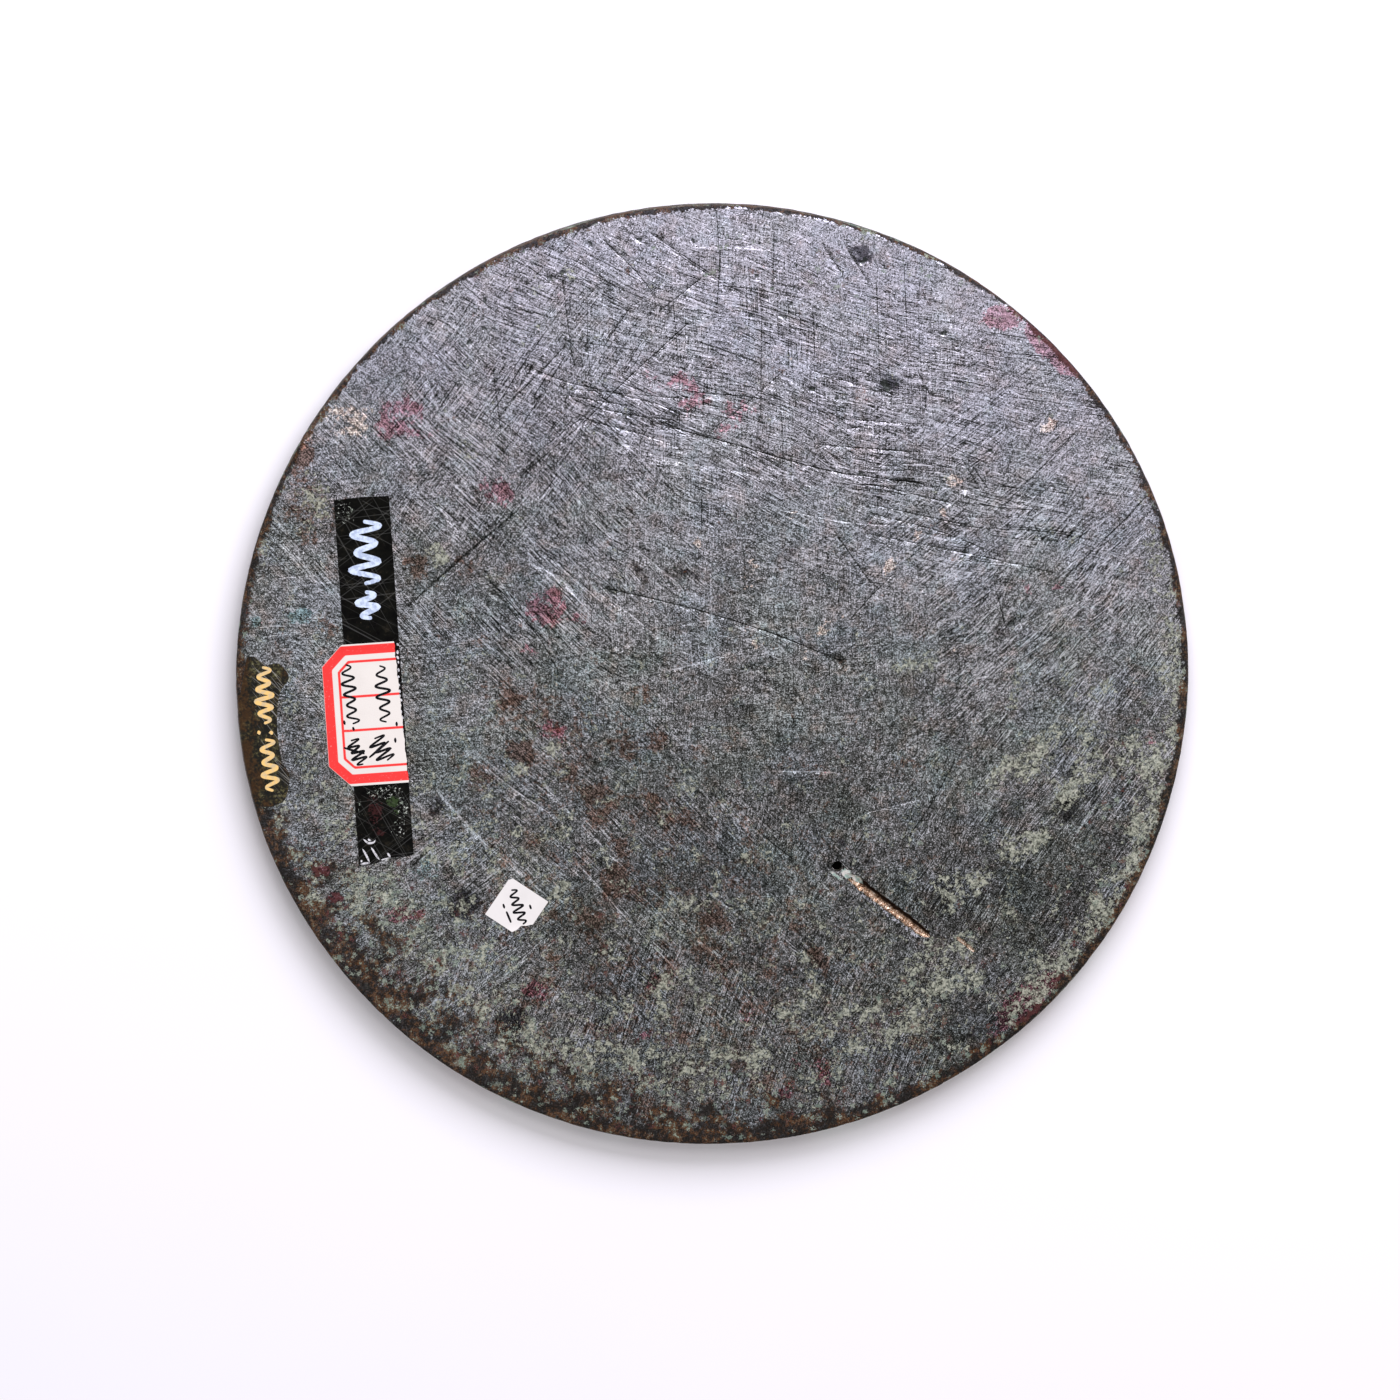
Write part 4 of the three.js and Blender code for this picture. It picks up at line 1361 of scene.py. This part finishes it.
def standing_out(x, y, z):
    """Where handling has bared the metal: the ring it rests on, the ridges, and the strings of the knob."""
    out = np.hypot(x, y)
    seat = 1 - smooth(z, 0.15, 0.9)
    ridges = np.zeros(len(x))
    for radius, width, rise in RIDGES:
        crest = smooth(FIELD_Z - z, 0.6 * rise, rise)
        ridges = np.maximum(ridges, (np.abs(out - radius) < width / 2) * crest)
    knob = (out < KNOB_SPAN) * smooth(FIELD_Z - z, 0.75 * KNOB_RISE, KNOB_RISE + KNOB_STRINGS[2])
    return np.max([seat, 0.8 * ridges, knob], axis=0)


def stain_masks(x, y):
    """How strongly each stain, deposit and lay of scratches covers each place on the face."""
    lower = 1 - smooth(y + 0.2 * x, -62, 30)
    lower_left = lower * smooth(-x, 20, 55)
    masks = {name: patches(x, y, listed) for name, listed in STAINS.items()}
    masks |= {f"lay_{number}": patches(x, y, listed) for number, (_, listed) in enumerate(LAYS)}
    masks["cream"] = np.maximum(masks["cream"], 0.08 + 0.30 * lower + 0.11 * lower_left)
    brown_all_over = 0.10 + 0.44 * lower * (1 - 0.6 * smooth(np.abs(x + 10), 20, 70))
    masks["brown"] = np.maximum(1.15 * masks["brown"], brown_all_over)
    masks["crust"] = rim_crust(x, y)
    masks["dim"] = patches(x, y, DIM) - 0.60 * lower_left
    inward = RADIUS - np.hypot(x, y)
    by_crust = 0.38 * smooth(masks["crust"], 0.05, 0.6) * smooth(inward, 0.4, 1.6)
    masks["crumbs"] = np.maximum(by_crust + 0.05 * lower, patches(x, y, CRUMBS))
    # Polish toward the top, which is partly real wear and partly a painted sheen of the light from beyond the
    # top.
    masks["polish"] = smooth(y + 0.1 * x, -45, 105)
    return masks


def damage_masks(x, y, z):
    """Where the scratches, the pits, the gouge, the nick and the hole show their own colours, and where the
    gouge's upper wall has painted shadow.
    """
    cut_away = (FACE_Z - z > 0.08) & (z > FIELD_Z + 0.2)
    _, look = in_scratches(x, y)
    along, across = along_trough(x, y, GOUGE)
    in_gouge = cut_away & (distance_to_trough(x, y, GOUGE) < GOUGE["width"] * 0.7)
    in_nick = cut_away & (distance_to_trough(x, y, NICK) < NICK["width"])
    frayed = noise_at(np.column_stack([x, y, z]), 0.7, 12)
    # The side of the gouge that gets painted shadow.
    painted_wall_shadow = smooth(across + 0.25 * frayed, 0.05, 0.25) * (along > -8)
    lip = (1 - smooth(np.abs(across + 1.5), 0.1, 0.7)) * (1 - smooth(np.abs(along - 1.5), 7.5, 9.5))
    hole_x, hole_y, _ = HOLE
    salts = [
        (hole_x + 1.9, hole_y - 1.5, 2.2, 1.5, -38, 1.0),
        (hole_x - 0.2, hole_y - 1.9, 3.4, 0.7, -35, 0.7),
        (hole_x + 4.0, hole_y - 2.6, 2.4, 1.0, -38, 1.0),
    ]
    return {
        "scratch": np.where(z > FIELD_Z + 1, np.where(look > 0, 0.6 * look, look), 0),
        "pitted": pit_share(x, y)[0],
        "copper": np.where(in_gouge, 1.0, np.where(in_nick, 0.75, 0)),
        "wall": np.where(in_gouge, painted_wall_shadow, 0),
        "salts": patches(x, y, salts),
        "burr": np.where(cut_away, 0, lip),
    }


def stain_casting(mirror):
    """Gives every vertex the masks that the materials read."""
    x, y, z = positions(mirror).T
    masks = stain_masks(x, y) | damage_masks(x, y, z) | {"worn": standing_out(x, y, z)}
    for name, values in masks.items():
        give(mirror, name, values)


# ---------------------------------------------------------------- tape and labels

TAPE = dict(x=-67.5, y=-0.8, turn=4.45, width=11.0, top=36.6, bottom=-36.6, skew=0.85)
FRAMED = dict(left=-10.15, right=4.9, top=7.4, bottom=-21.2, chamfer=4.2)
SQUARE = dict(x=-38.6, y=-46.9, turn=-33.3, side=9.1, clip=0.7)
TAPE_THICKNESS, PAPER_THICKNESS = 0.08, 0.1

# The red on the framed label: bands at these distances from its edge, and rules at these heights.
FRAME_BANDS = [(0.3, 2.2), (3.3, 3.8)]
RULE_BANDS = [(-3.45, -2.95), (-10.25, -9.75)]

# Painted and pen marks that stand for a collector's notes: long waves, dashes and dots, and no writing.
TAPE_MARKS = [wave((0.4, 31.8), (-0.2, 19.4), 2.9, 7), wave((-0.2, 17.6), (0.1, 12.4), 2.2, 4)]
LABEL_MARKS = [
    wave((-5.3, 3.3), (-4.7, -8.6), 1.35, 11), [(-4.8, -9.4), (-4.7, -9.9)], [(-6.5, -8.0), (-6.4, -8.6)],
    wave((-5.3, -12.0), (-3.4, -16.9), 1.5, 8), [(-6.8, -13.4), (-3.0, -14.8)],
    wave((1.4, 2.6), (1.8, -8.7), 1.45, 10), [(3.9, -9.0), (3.9, -9.6)],
    wave((-0.6, -11.9), (1.6, -16.4), 1.9, 7), [(-1.9, -15.6), (2.0, -12.7)], [(3.4, -12.2), (3.4, -12.9)],
]

SQUARE_MARKS = [
    wave((-2.8, 2.5), (2.9, -1.9), 1.15, 9), [(-2.6, -0.9), (-2.1, -1.3)], [(-1.2, -1.8), (0.6, -3.0)],
    [(1.9, 1.9), (2.4, 1.5)],
]

# Painted highlights along the creases at the tape's loose end, where the glossy film catches the light.
TAPE_CREASE_GLINTS = [
    [(-4.6, -34.0), (-3.9, -35.5), (-3.4, -36.8)], [(-2.9, -33.8), (-2.1, -35.3), (-1.4, -36.5)],
    [(0.3, -35.2), (0.8, -36.1)], [(-5.2, -37.1), (-4.3, -37.0), (-3.3, -36.95)],
    [(-1.1, -36.55), (1.2, -36.3)], [(-4.3, -32.1), (-3.4, -32.9), (-2.4, -32.9), (-1.9, -32.4)],
    [(-3.4, -32.2), (-2.8, -32.5)], [(-5.1, -36.7), (-4.9, -36.3)],
]

# What soils the tape, as patches.
TAPE_SOIL = {
    "scuffed": [(-3.4, 34, 5, 6, 0, 0.9), (0.5, -23, 9, 3, 0, 1.0), (4, -26.5, 3, 6, 0, 1.0),
                (-4.5, -26, 2, 6, 0, 0.8), (3, -30.5, 4, 5, 0, 0.9)],
    "rusted": [(-1.6, -26.5, 3, 7, 0, 0.9), (-1.0, -30.5, 2.4, 2.4, 0, 0.9)],
    "greened": [(2.2, -25.0, 2.6, 2.2, 0, 1.0), (2.6, -27.0, 1.6, 1.6, 0, 0.8)],
}


def lay_on_face(obj, x, y, turn):
    """Moves a mesh made about its own middle to its place on the face."""
    place = Matrix.Translation((x * MM, y * MM, FACE_Z * MM))
    obj.data.transform(place @ Matrix.Rotation(math.radians(turn), 4, "Z"))


def tape_height(x, y):
    """The film's top: bubbles and slow waves, and wrinkles at its loose lower end."""
    wrinkled = smooth(-y, 29, 35)
    folds = np.abs(noise_on_face(x, 0.35 * y, 1.3, 21))
    return 0.09 + 0.025 * noise_on_face(x, y, 3.0, 20) + wrinkled * 0.32 * smooth(folds, 0.1, 0.6)


def paper_teeth():
    """Crumbs of paper that the label's torn edge left on the film: the course and width of each."""
    teeth = []
    y = FRAMED["top"] - 0.6
    while y > FRAMED["bottom"] * 0.6:
        x, length, width = RNG.uniform(4.75, 5.15), RNG.uniform(0.25, 0.6), RNG.uniform(0.3, 0.55)
        teeth.append(([(x, y), (x + RNG.uniform(-0.2, 0.2), y - length)], width))
        y -= length + RNG.uniform(0.5, 1.5)
    return teeth


def tape_strip():
    half, skew, top, bottom = (TAPE[k] for k in ("width", "skew", "top", "bottom"))
    half /= 2
    low_end = [(half * s, bottom + skew * s + 0.25 * math.sin(5 * s + 1)) for s in np.linspace(-1, 1, 14)]
    outline = low_end + [(half, top), (0.3, top + 0.15), (-half, top - 0.1)]
    white_paint = brush_paint("white_paint", (0.42, 0.50, 0.68), (0.68, 0.78, 0.93))
    # Painted highlights along the creases and the paper crumbs share one pale silvery material.
    glints_and_crumbs = [Stroke(mark, 0.42, taper=0.8) for mark in TAPE_CREASE_GLINTS]
    glints_and_crumbs += [Stroke(*tooth) for tooth in paper_teeth()]
    marks = [([Stroke(mark, 1.2) for mark in TAPE_MARKS], white_paint), (glints_and_crumbs, crease_glints_and_crumbs())]
    made = sheet("tape", outline, 0.42, tape_height, TAPE_THICKNESS, black_film(), marks)
    x, y, _ = positions(made).T
    soil = {name: patches(x, y, listed) for name, listed in TAPE_SOIL.items()}
    soil["scuffed"] = np.maximum(soil["scuffed"], 0.2)
    for name, values in soil.items():
        give(made, name, values)
    lay_on_face(made, TAPE["x"], TAPE["y"], TAPE["turn"])
    return made


def framed_outline():
    """The label's outline, whose right edge is torn a little ragged."""
    left, right, top, bottom, chamfer = (FRAMED[k] for k in ("left", "right", "top", "bottom", "chamfer"))
    torn = [(right + 0.6 - 1.0 * share + 0.07 * math.sin(47 * share) + 0.05 * math.sin(131 * share),
             bottom + (top - bottom) * share) for share in np.linspace(0, 1, 60)]
    low_left = [(left, bottom + chamfer), (left + chamfer, bottom)]
    return low_left + torn + [(left + chamfer, top), (left, top - chamfer)]


def framed_height(x, y):
    """The paper's top: over the tape, down to the bronze on its left, and lifting a little at its ends."""
    tape_edge = -TAPE["width"] / 2
    over_tape = smooth(x, tape_edge - 1.2, tape_edge + 0.2)
    lifting = smooth(-y, 18.6, 21.2) + smooth(y, 5.6, 7.4)
    return 0.13 + 0.17 * over_tape + 0.02 * noise_on_face(x, y, 4, 22) + 0.12 * lifting


def framed_label():
    strokes = [Stroke(mark, 0.5, taper=0.3) for mark in LABEL_MARKS]
    printed = paper("printed_paper", (0.80, 0.75, 0.70), framed=True)
    made = sheet("label", framed_outline(), 0.45, framed_height, PAPER_THICKNESS, printed, [(strokes, ink())])
    x, y, _ = positions(made).T
    left, top, bottom, chamfer = (FRAMED[k] for k in ("left", "top", "bottom", "chamfer"))
    corners = np.minimum(x - left + top - y, x - left + y - bottom) - chamfer
    insets = [x - left + 0.25, corners / math.sqrt(2) + 0.25, top - y, y - bottom - 0.15]
    give(made, "inset", np.min(insets, axis=0))
    give(made, "along", y)
    lay_on_face(made, TAPE["x"], TAPE["y"], TAPE["turn"])
    return made


def square_height(x, y):
    """The small label's top, which lifts at its lower right corner."""
    corner = smooth(x - y, 4.5, 8.5)
    return 0.12 + 0.02 * noise_on_face(x, y, 3, 23) + 0.35 * corner


def square_label():
    half, clip = SQUARE["side"] / 2, SQUARE["clip"]
    torn_shares = [(0.42, -1), (0.55, -0.8), (0.6, -0.55), (0.8, -0.42), (0.9, -0.3), (1, -0.22)]
    torn = [(half * right, half * up) for right, up in torn_shares]
    outline = [(-half, -half), *torn, (half, half), (-half + clip, half), (-half, half - clip)]
    strokes = [Stroke(mark, 0.45, taper=0.2) for mark in SQUARE_MARKS]
    white = paper("white_paper", (0.80, 0.77, 0.75))
    made = sheet("small_label", outline, 0.35, square_height, PAPER_THICKNESS, white, [(strokes, ink())])
    lay_on_face(made, SQUARE["x"], SQUARE["y"], SQUARE["turn"])
    return made


# ---------------------------------------------------------------- stage, lights, camera

FRAME_WIDTH = 278.7
CAMERA_AWAY = 3000
CAMERA_AZIMUTH = 193.6
CAMERA_ELEVATION = 80
CAMERA_ROLL = 0.75
LOOK_AT = (-2.55, -4.6, FACE_Z)
SENSOR = 36

FLOOR_REACH = 3000
ROOM_COLOUR = (1.0, 0.98, 1.0)
ROOM_STRENGTH = 0.52

# Each light: its place, its two sides, its watts and its colour. All of them aim at the origin.
LIGHTS = {
    "window": ((200, 740, 660), (860, 560), 10.8, (0.93, 0.915, 1.0)),
    "lamp": ((40, 330, 900), (360, 240), 1.3, ROOM_COLOUR),
    "under_light": ((180, -260, -520), (500, 400), 9.0, ROOM_COLOUR),
}


def floor():
    corners = [(FLOOR_REACH * x, FLOOR_REACH * y, 0) for x, y in ((-1, -1), (1, -1), (1, 1), (-1, 1))]
    made = mesh_object("floor", corners, [(0, 1, 2, 3)], [pale_floor()])


def area_light(name, place, sides, power, colour):
    lamp = bpy.data.lights.new(name, "AREA")
    lamp.shape = "RECTANGLE"
    lamp.size, lamp.size_y = (side * MM for side in sides)
    lamp.energy = power
    lamp.color = colour
    made = bpy.data.objects.new(name, lamp)
    made.location = Vector(place) * MM
    made.rotation_euler = (-Vector(place)).to_track_quat("-Z", "Y").to_euler()
    bpy.context.scene.collection.objects.link(made)


def lights():
    """A broad cool window beyond the top of the mirror, a lamp above it, and an even pale room.

    One more light stands under the floor, for the mirror's back.
    """
    for name, light in LIGHTS.items():
        area_light(name, *light)
    world = bpy.data.worlds.new("room")
    world.use_nodes = True
    background = world.node_tree.nodes["Background"]
    background.inputs["Color"].default_value = (*ROOM_COLOUR, 1)
    background.inputs["Strength"].default_value = ROOM_STRENGTH
    bpy.context.scene.world = world
    bpy.context.scene.view_settings.view_transform = "Standard"


def camera():
    """Looks down from just beyond the top, with +Y up the picture, so the side shows along the top."""
    azimuth, elevation, roll = (math.radians(a) for a in (CAMERA_AZIMUTH, CAMERA_ELEVATION, CAMERA_ROLL))
    towards = Vector((math.sin(azimuth) * math.cos(elevation), -math.cos(azimuth) * math.cos(elevation),
                      math.sin(elevation)))
    level = Vector((0, 1, 0)).cross(towards).normalized()
    right = math.cos(roll) * level + math.sin(roll) * towards.cross(level)
    up = towards.cross(right)
    lens = bpy.data.cameras.new("camera")
    lens.sensor_width = SENSOR
    lens.lens = SENSOR * CAMERA_AWAY / FRAME_WIDTH
    made = bpy.data.objects.new("camera", lens)
    place = Matrix.Translation((Vector(LOOK_AT) + towards * CAMERA_AWAY) * MM)
    made.matrix_world = place @ Matrix((right, up, towards)).transposed().to_4x4()
    bpy.context.scene.collection.objects.link(made)
    bpy.context.scene.camera = made


# ---------------------------------------------------------------- the whole

def dress(piece, node):
    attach(piece, "root")
    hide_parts(node)


camera()
lights()
floor()
dress(casting(), "mirror_disc")
dress(tape_strip(), "tape_strip")
dress(framed_label(), "framed_label")
dress(square_label(), "square_label")
